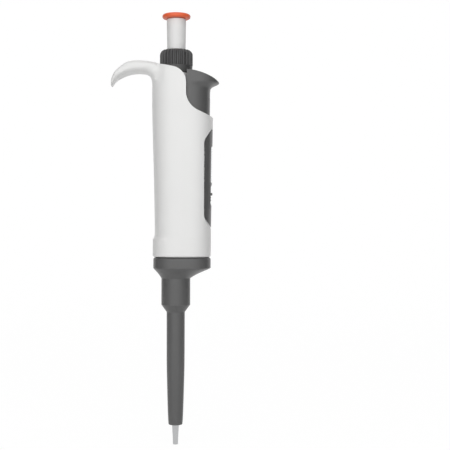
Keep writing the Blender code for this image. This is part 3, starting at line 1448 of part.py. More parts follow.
def make_ejector_button():
    """Thumb button in the shoulder of the handle, a hollow hood with a spur to the front."""
    inset = SHELL_WALL + SLIDE_GAP
    back = TOWER_FRONT + SLIDE_GAP
    skirt = HANDLE_BOTTOM + EJECTOR_SKIRT
    button = handle_form("ejector_button", inset, skirt, KNOB_BOTTOM, EJECTOR, "dark_plastic")
    combine(button, make_spur(), "UNION")
    side = rounded(
        [
            (back, skirt - REST_GAP, 0.0),
            (back, POCKET_FLOOR, 0.0),
            (EJECTOR_TOP_FLAT, POCKET_FLOOR, EJECTOR_TOP_RADIUS),
            (PAST, button_top(PAST), 0.0),
            (PAST, skirt - REST_GAP, 0.0),
        ]
    )
    combine(button, flat("button_side", [side], -PAST, PAST, EJECTOR, sideways=True), "INTERSECT")

    roof = POCKET_FLOOR - EJECTOR_ROOF
    hollow = handle_form("button_hollow", inset + EJECTOR_WALL, skirt - SHELL_WALL, roof, EJECTOR)
    front_part = box("hollow_front", (back + EJECTOR_WALL, -PAST, 0.0), (PAST, PAST, POCKET_FLOOR), EJECTOR)
    combine(hollow, front_part, "INTERSECT")
    combine(button, hollow, "DIFFERENCE")

    bore = EJECTOR_ROD_RADIUS + REST_GAP
    boss_bottom = roof - EJECTOR_BOSS_LENGTH
    boss = solid(
        "rod_boss",
        bore + EJECTOR_BOSS_WALL,
        boss_bottom,
        roof + REST_GAP,
        EJECTOR,
        x=EJECTOR_X,
        y=EJECTOR_Y,
        steps=COARSE,
    )
    room = handle_form("boss_room", inset + EJECTOR_WALL / 2, boss_bottom - SHELL_WALL, POCKET_FLOOR, EJECTOR)
    combine(boss, room, "INTERSECT")
    combine(button, boss, "UNION")
    low = skirt - 2 * SHELL_WALL
    rod_bore = solid("rod_bore", bore, low, roof - 2 * REST_GAP, EJECTOR, x=EJECTOR_X, y=EJECTOR_Y)
    combine(button, rod_bore, "DIFFERENCE")
    notch = solid("bearing_notch", HOUSING_RADIUS + SLIDE_GAP, low, KNOB_TOP, EJECTOR, steps=FINE)
    combine(button, notch, "DIFFERENCE")


def button_top(x):
    """Height of the ejector button's sloping top at an X past its flat part."""
    return POCKET_FLOOR - (x - EJECTOR_TOP_FLAT) * EJECTOR_TOP_SLOPE


def make_spur():
    """The button's thumb spur, higher than its sloping top, which trims it."""
    root = (EJECTOR_TOP_FLAT + SPUR_ROOT_X) / 2
    low = POCKET_FLOOR - SPUR_ROOT_DROP - SPUR_ROOT_LENGTH
    side = rounded(
        [
            (root, low, 0.0),
            (root, POCKET_FLOOR, 0.0),
            (SPUR_TIP + SPUR_EDGE, POCKET_FLOOR, 0.0),
            (SPUR_TIP + SPUR_EDGE, button_top(SPUR_TIP) - SPUR_EDGE, 0.0),
            (SPUR_ROOT_X, POCKET_FLOOR - SPUR_ROOT_DROP, SPUR_ROOT_RADIUS),
            (SPUR_ROOT_X, low, 0.0),
        ]
    )
    spur = flat("thumb_spur", [side], -PAST, PAST, EJECTOR, sideways=True)
    rings = [
        oval_ring(-SPUR_TIP / 2, SPUR_TIP, SPUR_HALF_WIDTH, height, SPUR_POWER)
        for height in (low - REST_GAP, KNOB_TOP)
    ]
    plan = lofted("spur_plan", rings, EJECTOR)
    combine(spur, plan, "INTERSECT")
    return spur


def make_ejector_pieces():
    make_sleeve()
    make_ejector_button()
    rod_low = SLEEVE_TOP - SLEEVE_SOCKET + REST_GAP
    rod_high = POCKET_FLOOR - EJECTOR_ROOF - 3 * REST_GAP
    solid(
        "ejector_rod",
        EJECTOR_ROD_RADIUS,
        rod_low,
        rod_high,
        EJECTOR,
        "steel",
        x=EJECTOR_X,
        y=EJECTOR_Y,
        steps=COARSE,
    )
    clip_low = FOOT_TOP + EJECTOR_LENGTH + 2 * REST_GAP
    inner = EJECTOR_ROD_RADIUS + REST_GAP
    ring(
        "ejector_clip",
        inner,
        inner + EJECTOR_CLIP_WIDTH,
        clip_low,
        clip_low + EJECTOR_CLIP_HEIGHT,
        EJECTOR,
        "steel",
        x=EJECTOR_X,
        y=EJECTOR_Y,
        steps=COARSE,
    )


def make_springs(retainer_top):
    low = retainer_top + REST_GAP
    high = HOLDER_BOTTOM - REST_GAP
    coil("plunger_spring", PLUNGER_COIL, PLUNGER_WIRE, low, high, PLUNGER_TURNS, PLUNGER, "steel")
    low = FOOT_TOP + REST_GAP
    coil(
        "overshoot_spring",
        OVERSHOOT_COIL,
        OVERSHOOT_WIRE,
        low,
        low + OVERSHOOT_LENGTH,
        OVERSHOOT_TURNS,
        CARRIAGE,
        "steel",
    )
    coil(
        "ejector_spring",
        EJECTOR_COIL,
        EJECTOR_WIRE,
        low,
        low + EJECTOR_LENGTH,
        EJECTOR_TURNS,
        EJECTOR,
        "steel",
        x=EJECTOR_X,
        y=EJECTOR_Y,
    )


clear_scene()
PARTS = add_collection("pipette")
CUTTERS = add_collection("cutters")

# Empties on the joints' axes
BASE = add_empty("pipette_base", (0.0, 0.0, -SEAT_HEIGHT))
KNOB = add_empty("knob_axis", (0.0, 0.0, KNOB_BOTTOM), BASE)
CARRIAGE = add_empty("overshoot_axis", (0.0, 0.0, CARRIAGE_BOTTOM), BASE)
SETTING = add_empty("setting_axis", (0.0, 0.0, SETTING_BOTTOM), BASE)
STOP = add_empty("stop_axis", (0.0, 0.0, STOP_BUSH_BOTTOM), BASE)
PLUNGER = add_empty("plunger_axis", (0.0, 0.0, STOP_COLLAR_BOTTOM), BASE)
EJECTOR = add_empty("ejector_axis", (EJECTOR_X, EJECTOR_Y, SLEEVE_TOP), BASE)
LOCK = add_empty("lock_axis", (LOCK_PAD_BACK, 0.0, WHEEL_BOTTOM), BASE)
DRUM_1 = add_empty("tenths_axis", (COUNTER_X, 0.0, TENTHS_BOTTOM), BASE)
DRUM_2 = add_empty("units_axis", (COUNTER_X, 0.0, UNITS_BOTTOM), BASE)
DRUM_3 = add_empty("tens_axis", (COUNTER_X, 0.0, TENS_BOTTOM), BASE)
PINION_1 = add_empty("lower_pinion_axis", (PINION_X, PINION_Y, UNITS_BOTTOM), BASE)
PINION_2 = add_empty("upper_pinion_axis", (PINION_X, PINION_Y, TENS_BOTTOM), BASE)

make_shell()
make_panel()
make_lens()
make_lock()
make_chassis()
make_chassis_screws()
make_counter_frame()
make_counter_shafts()
make_drums()
make_lock_wheel()
make_pinions()
make_knob_pieces()
make_setting_pieces()
make_plunger_pieces()
spring_seat = make_lower_end()
make_ejector_pieces()
make_springs(spring_seat)
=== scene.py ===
"""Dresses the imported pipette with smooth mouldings, turned metal, printed number drums and a plain studio.

Lengths are metres. Heights in the constants are measured up from the nozzle's end, and every piece is
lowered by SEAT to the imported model's origin, the seat of its finger hook.
"""

import json
from math import copysign, cos, hypot, pi, radians, sin, tau

import bmesh
import bpy
import numpy as np
from bpy.props import FloatProperty, FloatVectorProperty, IntProperty, PointerProperty
from mathutils import Matrix, Vector, kdtree


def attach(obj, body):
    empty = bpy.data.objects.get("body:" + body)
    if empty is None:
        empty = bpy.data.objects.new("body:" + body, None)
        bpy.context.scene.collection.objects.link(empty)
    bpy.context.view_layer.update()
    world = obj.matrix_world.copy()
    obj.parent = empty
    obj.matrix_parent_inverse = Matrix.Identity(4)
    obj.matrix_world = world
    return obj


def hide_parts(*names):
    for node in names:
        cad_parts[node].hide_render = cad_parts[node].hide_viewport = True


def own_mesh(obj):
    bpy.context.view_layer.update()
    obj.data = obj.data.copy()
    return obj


bl_info = {
    "name": "Pipette looks",
    "version": (1, 0, 0),
    "blender": (4, 5, 0),
    "location": "View3D > Sidebar > Pipette",
    "description": "Builds the visible pieces of a bench pipette round its packed frame",
    "category": "Object",
}

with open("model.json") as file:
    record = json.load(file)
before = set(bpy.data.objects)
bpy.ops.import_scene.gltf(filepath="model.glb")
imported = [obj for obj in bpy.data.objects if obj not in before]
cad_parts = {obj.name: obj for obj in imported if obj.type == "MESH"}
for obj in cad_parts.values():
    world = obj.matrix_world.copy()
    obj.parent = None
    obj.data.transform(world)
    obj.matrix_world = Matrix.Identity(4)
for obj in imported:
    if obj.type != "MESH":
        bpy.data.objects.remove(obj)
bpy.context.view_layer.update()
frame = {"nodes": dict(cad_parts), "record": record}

SEAT = 0.1967
PAST = 0.04
GAP = 0.0003
MICRON = 0.000001
WHITE = (1.0, 1.0, 1.0, 1.0)

# Points round a smooth piece, round a small one, and on each rounded corner
FINE = 144
ROUND = 72
CORNER = 10

# Handle. Rows: height above its lower edge, back, front, half depth
HANDLE_BOTTOM = 0.1001
HANDLE_POWER = 2.5
HANDLE_ROWS = (
    (0.0000, -0.0117, 0.0180, 0.0123),
    (0.0006, -0.0123, 0.0186, 0.0129),
    (0.0093, -0.0123, 0.0187, 0.0130),
    (0.0098, -0.0112, 0.0187, 0.0130),
    (0.0400, -0.0117, 0.0192, 0.0134),
    (0.0719, -0.0126, 0.0196, 0.0136),
    (0.0850, -0.0128, 0.0198, 0.0136),
    (0.0920, -0.0128, 0.0197, 0.0135),
    (0.0965, -0.0126, 0.0194, 0.0131),
    (0.0995, -0.0122, 0.0189, 0.0125),
    (0.1016, -0.0116, 0.0182, 0.0118),
    (0.1030, -0.0108, 0.0174, 0.0110),
)
ROW_STEP = 0.0009
WALL = 0.0014
TOWER_FRONT = 0.0057
TOWER_TOP = 0.1985
TOWER_SLOPE = 0.235
TOWER_CORNER = 0.0088
SHOULDER = 0.1798
SHOULDER_SLOPE = 0.42
SHOULDER_CORNER = 0.0105
TOWER_ROOF = 0.0020
PARTITION_BOTTOM = 0.1736

# Finger hook, tip to root, above its underside's height. Rows: outer point, inner point, half width
HOOK_HEIGHT = 0.1980
HOOK_ROWS = (
    ((-0.0346, -0.0072), (-0.0344, -0.0073), 0.0020),
    ((-0.0349, -0.0067), (-0.0342, -0.0071), 0.0038),
    ((-0.0348, -0.0053), (-0.0336, -0.0061), 0.0052),
    ((-0.0344, -0.0029), (-0.0326, -0.0046), 0.0063),
    ((-0.0334, -0.0009), (-0.0311, -0.0034), 0.0070),
    ((-0.0314, 0.0017), (-0.0290, -0.0022), 0.0076),
    ((-0.0284, 0.0041), (-0.0266, -0.0012), 0.0080),
    ((-0.0247, 0.0060), (-0.0238, -0.0004), 0.0083),
    ((-0.0200, 0.0064), (-0.0203, 0.0000), 0.0085),
    ((-0.0160, 0.0061), (-0.0170, -0.0002), 0.0088),
    ((-0.0128, 0.0057), (-0.0150, -0.0008), 0.0090),
    ((-0.0100, 0.0051), (-0.0135, -0.0024), 0.0092),
    ((-0.0070, 0.0037), (-0.0121, -0.0065), 0.0097),
    ((-0.0040, 0.0024), (-0.0085, -0.0085), 0.0106),
)
HOOK_POWER = 3.0
HOOK_STEPS = 7
HOOK_POINTS = 84

# Fillet between hook and handle: its reach, its mesh's edges, and how it is relaxed
BLEND = 0.0040
BLEND_EDGE = BLEND / 8
BLEND_SPLITS = 3
BLEND_ROUNDS = 110
BLEND_RATE = 0.6
HOLLOW_ANGLE = radians(4)
CREST_ANGLE = radians(35)

# Knob's bearing in the tower
POCKET_FLOOR = 0.1974
POCKET_RADIUS = 0.00905
HOUSING_RADIUS = 0.0088
HOUSING_BORE = 0.0080
HOUSING_LIP = (0.1905, 0.1913)
BUSH_BORE = 0.0068
CLIP_ROOM = 0.0081
CUP_BOTTOM = 0.1888

# Display panel, its window and the scoop round the lock
PANEL = (0.1142, 0.1680)
PANEL_BACK = 0.0152
PANEL_CORNER = 0.0060
PANEL_SLANT = 1.64
WINDOW = (0.1399, 0.1583)
WINDOW_HALF = 0.0048
WINDOW_BEVEL = 0.0005
LENS_RECESS = 0.0002
LENS_THICKNESS = 0.0009
SCOOP = (0.1268, 0.1387)
SCOOP_DEPTH = 0.0011
SCOOP_HALF = 0.0052
PAD_BACK = 0.0166
PAD_HALF = 0.0064
PAD_MARGIN = 0.0010
RAIL_WIDTH = 0.0010
LOCK_BOTTOM = 0.1298
LOCK_HEIGHT = 0.0043
LOCK_TRAVEL = 0.0020
LOCK_HALF = 0.0030
LOCK_PLATE = 0.0012
LOCK_GUIDE = 0.0040
LOCK_ROOT = 0.0006
LOCK_FACE = 0.0180
LOCK_EDGES = (0.0002, 0.0003)
LOCK_FINGER_BACK = 0.0130
LOCK_FINGER_TOP = 0.1344
LOCK_FINGER_DROP = 0.0030
LOCK_FINGER_HALF = 0.0003

# The lock's ribs and the tab above them. Rows: front, bottom and top above the button's bottom
LOCK_RIBS = (
    (0.0187, 0.0, 0.0008),
    (0.0187, 0.0015, 0.0023),
    (0.0194, 0.0030, 0.0043),
)

# Knob, stem and push button
KNOB = (0.1977, 0.2104)
KNOB_RADIUS = 0.00875
KNOB_SHOULDER = 0.0029
KNOB_BAND = 0.0041
KNOB_BAND_INSET = 0.00015
KNOB_LIP = 0.0020
KNOB_BORE = 0.0071
KNOB_SKIRT_BORE = 0.0079
KNOB_SKIRT_TOP = 0.1990
STEM_CLEARANCE = 0.0054
RIB_SHARE = 0.56
RIB_COLUMNS = 9
RIB_ROOT = 0.0002
RIB_POWER = 2.6
STEM = (0.2060, 0.2268)
STEM_RADII = (0.0049, 0.0051)
STEM_EDGES = (0.0002, 0.0003)
STEM_BEND = 0.0020
STEM_WAIST = 0.0009
CAP = (0.2270, 0.2294)
CAP_RADIUS = 0.0075
CAP_EDGE = 0.0011
CAP_PIN = 0.0022
CAP_PIN_BOTTOM = 0.2233
ROD_ROOM = (0.0018, 0.2230)

# Ejector button: its hood, and rows of its front from the root up: drop below the top, front
BUTTON_SKIRT = 0.1700
BUTTON_INSET = 0.0017
BUTTON_BACK = 0.0060
BUTTON_WALL = 0.0014
BUTTON_ROOF = 0.1906
BUTTON_TOP = 0.1988
BUTTON_BOSS = (0.0026, 0.0130)
SPUR_ROWS = (
    (0.0140, 0.0180),
    (0.0110, 0.0181),
    (0.0094, 0.0183),
    (0.0084, 0.0189),
    (0.0077, 0.0199),
    (0.0071, 0.0212),
    (0.0065, 0.0225),
    (0.0061, 0.0229),
    (-0.0003, 0.0229),
)
SPUR_STEP = 0.00025

# The button's top, from its back to the spur's tip. Rows: X, height
BUTTON_TOP_ROWS = (
    (0.0060, 0.1988),
    (0.0092, 0.1984),
    (0.0131, 0.1975),
    (0.0157, 0.1966),
    (0.0179, 0.1957),
    (0.0196, 0.1949),
    (0.0213, 0.1939),
    (0.0223, 0.1932),
    (0.0230, 0.1927),
)
BUTTON_TOP_STEP = 0.0005
ROD_X = 0.0086
ROD_Y = 0.0084
ROD_BORE = 0.0016

# Ejector sleeve. Rows of its round part: height, radius
SLEEVE_ROWS = (
    (0.0106, 0.0037),
    (0.0134, 0.00393),
    (0.0189, 0.00416),
    (0.0292, 0.00446),
    (0.0450, 0.00479),
    (0.0706, 0.00485),
    (0.0745, 0.0077),
)
SLEEVE_STEP = 0.003
CONE_STEP = 0.0004
SLEEVE_WALL = 0.0008
SLEEVE_LIP = 0.0002
FLARE = (0.0886, 0.0942)
FLARE_ROWS = ((0.0, 0.0), (0.2, 0.16), (0.45, 0.40), (0.7, 0.68), (0.9, 0.92), (1.0, 1.0))
FLARE_STEP = 0.06
RIM_TOP = 0.0998
RIM_EDGE = 0.0012
RIM_FACETS = 6
RIM_INSET = 0.0003
SOCKET_BOTTOM = 0.0948

# Nozzle. Corners: radius, height, rounding
NOZZLE_CORNERS = (
    (0.0025, 0.0390, 0.0),
    (0.0025, 0.0333, 0.0),
    (0.0020, 0.0333, 0.0),
    (0.0020, 0.0130, 0.0),
    (0.0019, 0.0106, 0.0004),
    (0.00152, 0.0046, 0.0004),
    (0.00135, 0.0, 0.00012),
    (0.0004, 0.0, 0.00008),
    (0.0004, 0.0040, 0.0),
    (0.000815, 0.0040, 0.0),
    (0.000815, 0.0361, 0.0),
    (0.0018, 0.0361, 0.0),
    (0.0018, 0.0390, 0.0),
)

# Number drums, with a white skin and printed digits
DRUM_X = 0.0100
DRUM_RADIUS = 0.0064
DRUM_BAND = 0.0044
DRUM_SKIN = 0.00006
INK = 0.00002
DIGITS = 10

# A digit's height in its font's size, and the cuts each way that let it bend round a drum
DIGIT_SHARE = 0.7
DIGIT_CUTS = 8
DIGIT_FACETS = 6

# Rows: body, node, band's bottom, digit shown at rest
DRUMS = (
    ("tenths_drum", "drum_tenths", 0.1405, 0),
    ("units_drum", "drum_units", 0.1469, 0),
    ("tens_drum", "drum_tens", 0.1533, 1),
)

# Springs: replaced node, body, joint, travel, axis, coil radius, wire radius, bottom, length, turns
SPRINGS = (
    ("plunger_spring", "plunger", "plunge", 0.0120, (0.0, 0.0), 0.0021, 0.0003, 0.0443, 0.0434, 10),
    ("overshoot_spring", "carriage", "overshoot", 0.0030, (0.0, 0.0), 0.0049, 0.00045, 0.1031, 0.0075, 4),
    ("ejector_spring", "ejector", "eject", 0.0085, (ROD_X, ROD_Y), 0.0020, 0.0003, 0.1031, 0.0230, 7),
)

# Points on each turn of a spring and round its wire, and the share of a turn that lies flat at each end
COIL_POINTS = 32
WIRE_POINTS = 12
FLAT_TURN = 0.5

# Camera and studio
CAMERA_X = 0.0262
CAMERA_HEIGHT = 0.11706
CAMERA_ROLL = -0.0024
FRAME_WIDTH = 0.2404
SENSOR = 36.0
CLIP = (0.01, 20.0)
SOFT_BOX = (-0.05, -1.25, 0.05)
SOFT_BOX_SIZE = 1.8
CARD_X = 0.8
CARD_Y = (-0.55, 0.45)
CARD_HEIGHT = 0.9
FLOOR_GAP = 0.0002
FLOOR_HALF = 1.6
BACKDROP_Y = 0.9
BACKDROP_HEIGHT = 1.6
BACKDROP_CURVE = 0.4
BACKDROP_FACETS = 24

# Share of the backdrop's look that is its own white, and how bright that is
BACKDROP_SHARE = 0.88
BACKDROP_GLOW = 1.06

# Patterns in repeats per metre: flow marks of 18 mm, cloudy polish of 3 to 5 mm, fibres of 1 to 3 mm
FLOW_MARKS = 55.0
METAL_CLOUDS = 300.0
LENS_CLOUDS = 220.0
PAPER_FIBRES = 900.0
CARD_FIBRES = 400.0

# Radians of a wave texture's bands in one unit at a scale of one
WAVE_RADIANS = 20.0


def linear(code):
    """An sRGB hex colour as linear red, green and blue."""
    values = [int(code[index : index + 2], 16) / 255 for index in (1, 3, 5)]
    return tuple(v / 12.92 if v <= 0.04045 else ((v + 0.055) / 1.055) ** 2.4 for v in values)


class PipetteSizes(bpy.types.PropertyGroup):
    rib_count: IntProperty(
        name="Knob ribs", description="Grip ribs round the volume knob", default=24, min=8
    )
    rib_depth: FloatProperty(
        name="Rib depth", description="Depth of the knob's grooves", default=0.0009, min=0.0, unit="LENGTH"
    )
    digit_height: FloatProperty(
        name="Digit height", description="Height of a printed digit", default=0.0030, min=0.0, unit="LENGTH"
    )
    camera_distance: FloatProperty(
        name="Camera distance", description="From the plunger's axis", default=0.5465, min=0.1, unit="LENGTH"
    )
    key_power: FloatProperty(name="Soft box", description="Wide lamp in front", default=13.0, unit="POWER")
    room_strength: FloatProperty(
        name="Room", description="Even light from the room all round", default=0.625, min=0.0
    )


class PipetteColours(bpy.types.PropertyGroup):
    shell: FloatVectorProperty(
        name="Shell", description="Handle moulding", subtype="COLOR", default=linear("#ECECEB")
    )
    stem: FloatVectorProperty(
        name="Stem", description="Push button's stem", subtype="COLOR", default=linear("#E9E9E8")
    )
    button: FloatVectorProperty(
        name="Button", description="Push button's cap", subtype="COLOR", default=linear("#F0673A")
    )
    trim: FloatVectorProperty(
        name="Trim", description="Ejector, lock and panel", subtype="COLOR", default=linear("#5B5B5B")
    )
    knob: FloatVectorProperty(
        name="Knob", description="Volume knob", subtype="COLOR", default=linear("#4A4A4A")
    )
    ink: FloatVectorProperty(
        name="Ink", description="Printed digits", subtype="COLOR", default=linear("#161617")
    )


# Shapes as points


def signed_power(value, power):
    """A power of the value's size, with the value's sign."""
    return copysign(abs(value) ** power, value)


def oval(back, front, half_depth, height, power=HANDLE_POWER, count=FINE):
    """A level superellipse between two X values."""
    centre = (back + front) / 2
    half_width = (front - back) / 2
    points = []
    for index in range(count):
        angle = tau * index / count
        across = signed_power(cos(angle), 2 / power) * half_width
        along = signed_power(sin(angle), 2 / power) * half_depth
        points.append((centre + across, along, height))
    return points


def eased(rows, spacing):
    """Rows of numbers, the first one rising, drawn as smooth curves that pass through them."""
    table = np.array(rows, float)
    rise = table[:, 0]
    gaps = np.diff(rise)
    slopes = np.diff(table, axis=0) / gaps[:, None]
    tangents = np.vstack([slopes[:1], np.zeros_like(slopes[1:]), slopes[-1:]])
    for row in range(1, len(rise) - 1):
        below, above = slopes[row - 1], slopes[row]
        near = 2 * gaps[row] + gaps[row - 1]
        far = gaps[row] + 2 * gaps[row - 1]
        same = below * above > 0
        tangents[row][same] = (near + far) / (near / below[same] + far / above[same])
    made = [table[0]]
    for row, gap in enumerate(gaps):
        count = max(2, int(np.ceil(gap / spacing)))
        for step in range(1, count + 1):
            t = step / count
            made.append(
                (2 * t**3 - 3 * t**2 + 1) * table[row]
                + (t**3 - 2 * t**2 + t) * gap * tangents[row]
                + (3 * t**2 - 2 * t**3) * table[row + 1]
                + (t**3 - t**2) * gap * tangents[row + 1]
            )
    return made


HANDLE_CURVE = np.array(eased(HANDLE_ROWS, ROW_STEP))


def handle_row(height):
    """The handle's back, front and half depth at a height."""
    rise = height - HANDLE_BOTTOM
    return [np.interp(rise, HANDLE_CURVE[:, 0], HANDLE_CURVE[:, column]) for column in (1, 2, 3)]


def handle_rings(inset, bottom, top, count=FINE):
    """Rings of the handle's form, inset from its surface, between two heights."""
    between = [HANDLE_BOTTOM + rise for rise in HANDLE_CURVE[:, 0]]
    inside = [height for height in between if bottom + MICRON < height < top - MICRON]
    heights = [bottom, *inside, top]
    rings = []
    for height in heights:
        back, front, half_depth = handle_row(height)
        rings.append(oval(back + inset, front - inset, half_depth - inset, height, count=count))
    return rings


def rounded(corners, facets=CORNER):
    """A closed outline from corners of two coordinates and a rounding."""
    points = []
    for index, (across, up, radius) in enumerate(corners):
        corner = Vector((across, up))
        before = (Vector(corners[index - 1][:2]) - corner).normalized()
        after = (Vector(corners[(index + 1) % len(corners)][:2]) - corner).normalized()
        if radius == 0.0:
            points.append(tuple(corner))
            continue
        half_angle = before.angle(after) / 2
        centre = corner + (before + after).normalized() * radius / sin(half_angle)
        reach = radius * cos(half_angle) / sin(half_angle)
        start = corner + before * reach - centre
        turn = start.angle_signed(corner + after * reach - centre)
        for step in range(facets + 1):
            points.append(tuple(centre + Matrix.Rotation(-turn * step / facets, 2) @ start))
    return points


# Shapes as meshes


def mesh_from(points, faces):
    """A clean mesh whose faces all look outward."""
    mesh = bpy.data.meshes.new("shape")
    mesh.from_pydata([tuple(point) for point in points], [], faces)
    cage = bmesh.new()
    cage.from_mesh(mesh)
    bmesh.ops.remove_doubles(cage, verts=cage.verts, dist=MICRON)
    bmesh.ops.recalc_face_normals(cage, faces=cage.faces)
    cage.to_mesh(mesh)
    cage.free()
    return mesh


def skinned(rings, closed=False):
    """A mesh over rings of equally many points, with a cap at each end or the last joined to the first."""
    count = len(rings[0])
    points = [point for points in rings for point in points]
    faces = []
    for row in range(len(rings) if closed else len(rings) - 1):
        low = row * count
        high = (row + 1) % len(rings) * count
        for index in range(count):
            after = (index + 1) % count
            faces.append((low + index, low + after, high + after, high + index))
    if not closed:
        faces.append(tuple(range(count)))
        faces.append(tuple(range(len(points) - count, len(points))))
    return mesh_from(points, faces)


def turned(profile, x=0.0, y=0.0, count=FINE):
    """A mesh turned about a vertical axis, from radii and heights, with a cap where it meets the axis."""
    rings = []
    for radius, height in profile:
        if radius > 0:
            turns = [tau * index / count for index in range(count)]
            rings.append([(x + radius * cos(turn), y + radius * sin(turn), height) for turn in turns])
    return skinned(rings, closed=len(rings) == len(profile))


def prism(outline, half=PAST):
    """An outline of X and height, extruded across the handle."""
    return skinned([[(x, -half, z) for x, z in outline], [(x, half, z) for x, z in outline]])


def block(low, high):
    """A box between two corners."""
    corners = [(low[0], low[1]), (high[0], low[1]), (high[0], high[1]), (low[0], high[1])]
    return skinned([[(x, y, z) for x, y in corners] for z in (low[2], high[2])])


def carved(mesh, *steps):
    """The mesh after steps of an operation and a tool's mesh."""
    base = bpy.data.objects.new("carved", mesh)
    bpy.context.scene.collection.objects.link(base)
    tools = []
    for operation, tool_mesh in steps:
        tool = bpy.data.objects.new("tool", tool_mesh)
        bpy.context.scene.collection.objects.link(tool)
        step = base.modifiers.new("step", "BOOLEAN")
        step.operation = operation
        step.solver = "EXACT"
        step.object = tool
        tools.append(tool)
    made = settled(base)
    for tool in tools:
        bpy.data.objects.remove(tool)
    return made


def settled(made):
    """The object's mesh with its modifiers in it; the object goes."""
    bpy.context.view_layer.update()
    evaluated = made.evaluated_get(bpy.context.evaluated_depsgraph_get())
    mesh = bpy.data.meshes.new_from_object(evaluated)
    bpy.data.objects.remove(made)
    cage = bmesh.new()
    cage.from_mesh(mesh)
    bmesh.ops.remove_doubles(cage, verts=cage.verts, dist=MICRON)
    bmesh.ops.dissolve_degenerate(cage, edges=cage.edges, dist=MICRON)
    cage.to_mesh(mesh)
    cage.free()
    return mesh


def add_piece(name, mesh, material, body, node=None, edge=32):
    """Make a piece of a mesh: smooth faces, its finish, the body it rides on and the node it stands for."""
    if not mesh.polygons:
        raise RuntimeError(f"{name} has no faces")
    mesh.name = name
    mesh.transform(Matrix.Translation((0.0, 0.0, -SEAT)))
    mesh.materials.clear()
    mesh.materials.append(material)
    mesh.shade_smooth()
    mesh.set_sharp_from_angle(angle=radians(edge))
    made = bpy.data.objects.new(name, mesh)
    bpy.context.scene.collection.objects.link(made)
    normals = made.modifiers.new("Even normals", "WEIGHTED_NORMAL")
    normals.keep_sharp = True
    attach(made, body)
    if node:
        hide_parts(node)
    return made


NODE_SLOTS = {part["node"]: part["material_slot"] for part in frame["record"]["subparts"]}


# Finishes


def add(tree, kind, settings=None, links=None):
    """Add a node. Small-letter settings are its properties, others are its inputs; links name its inputs."""
    node = tree.nodes.new(kind)
    for key, value in (settings or {}).items():
        if isinstance(key, str) and key[0].islower():
            setattr(node, key, value)
        else:
            node.inputs[key].default_value = value
    for key, source in (links or {}).items():
        tree.links.new(source, node.inputs[key])
    return node


def new_finish(name):
    """An empty material and its node tree."""
    material = bpy.data.materials.get(name) or bpy.data.materials.new(name)
    material.use_nodes = True
    material.node_tree.nodes.clear()
    return material, material.node_tree


def object_points(tree):
    """Object coordinates, in metres."""
    place = add(tree, "ShaderNodeTexCoord")
    mapping = add(tree, "ShaderNodeMapping", {"vector_type": "POINT"}, {"Vector": place.outputs["Object"]})
    return mapping.outputs["Vector"]


def moulded(name, colour, roughness, grain, relief, ior=1.53, specular=0.5, mottle=0.03):
    """A moulded plastic: the mould's eroded grain as relief, faint flow mottling in tone and gloss.

    Grain is the spacing in millimetres and relief its height.
    """
    material, tree = new_finish(name)
    points = object_points(tree)
    grain_size = {"Scale": 1000.0 / grain, "Detail": 3.0, "Roughness": 0.6}
    fine = add(tree, "ShaderNodeTexNoise", grain_size, {"Vector": points})
    broad = add(tree, "ShaderNodeTexNoise", {"Scale": FLOW_MARKS, "Detail": 2.0}, {"Vector": points})
    tone = add(
        tree,
        "ShaderNodeMapRange",
        {"From Min": 0.3, "From Max": 0.7, "To Min": 1.0 - mottle, "To Max": 1.0 + mottle},
        {"Value": broad.outputs["Fac"]},
    )
    tint = add(tree, "ShaderNodeHueSaturation", {"Color": (*colour, 1.0)}, {"Value": tone.outputs["Result"]})
    gloss = add(
        tree,
        "ShaderNodeMapRange",
        {"From Min": 0.25, "From Max": 0.75, "To Min": roughness - 0.05, "To Max": roughness + 0.05},
        {"Value": fine.outputs["Fac"]},
    )
    bump = add(
        tree,
        "ShaderNodeBump",
        {"Strength": 1.0, "Distance": relief / 1000.0},
        {"Height": fine.outputs["Fac"]},
    )
    shader = add(
        tree,
        "ShaderNodeBsdfPrincipled",
        {"IOR": ior, "Specular IOR Level": specular},
        {
            "Base Color": tint.outputs["Color"],
            "Roughness": gloss.outputs["Result"],
            "Normal": bump.outputs["Normal"],
        },
    )
    add(tree, "ShaderNodeOutputMaterial", None, {"Surface": shader.outputs["BSDF"]})
    return material


def turned_metal(name, colour, roughness, spacing, relief):
    """A metal cut on a lathe: rings that draw its highlight out along the axis.

    Spacing is the rings' distance in millimetres and relief their height.
    """
    material, tree = new_finish(name)
    points = object_points(tree)
    rings_scale = tau * 1000.0 / spacing / WAVE_RADIANS
    rings = add(
        tree,
        "ShaderNodeTexWave",
        {"bands_direction": "Z", "Scale": rings_scale, "Distortion": 0.4, "Detail": 2.0},
        {"Vector": points},
    )
    clouds = add(tree, "ShaderNodeTexNoise", {"Scale": METAL_CLOUDS, "Detail": 3.0}, {"Vector": points})
    gloss = add(
        tree,
        "ShaderNodeMapRange",
        {"From Min": 0.3, "From Max": 0.7, "To Min": roughness - 0.05, "To Max": roughness + 0.06},
        {"Value": clouds.outputs["Fac"]},
    )
    bump = add(
        tree,
        "ShaderNodeBump",
        {"Strength": 0.6, "Distance": relief / 1000.0},
        {"Height": rings.outputs["Fac"]},
    )
    tone = add(
        tree, "ShaderNodeMapRange", {"To Min": 0.94, "To Max": 1.03}, {"Value": clouds.outputs["Fac"]}
    )
    tint = add(tree, "ShaderNodeHueSaturation", {"Color": (*colour, 1.0)}, {"Value": tone.outputs["Result"]})
    shader = add(
        tree,
        "ShaderNodeBsdfPrincipled",
        {"Metallic": 1.0},
        {
            "Base Color": tint.outputs["Color"],
            "Roughness": gloss.outputs["Result"],
            "Normal": bump.outputs["Normal"],
        },
    )
    add(tree, "ShaderNodeOutputMaterial", None, {"Surface": shader.outputs["BSDF"]})
    return material


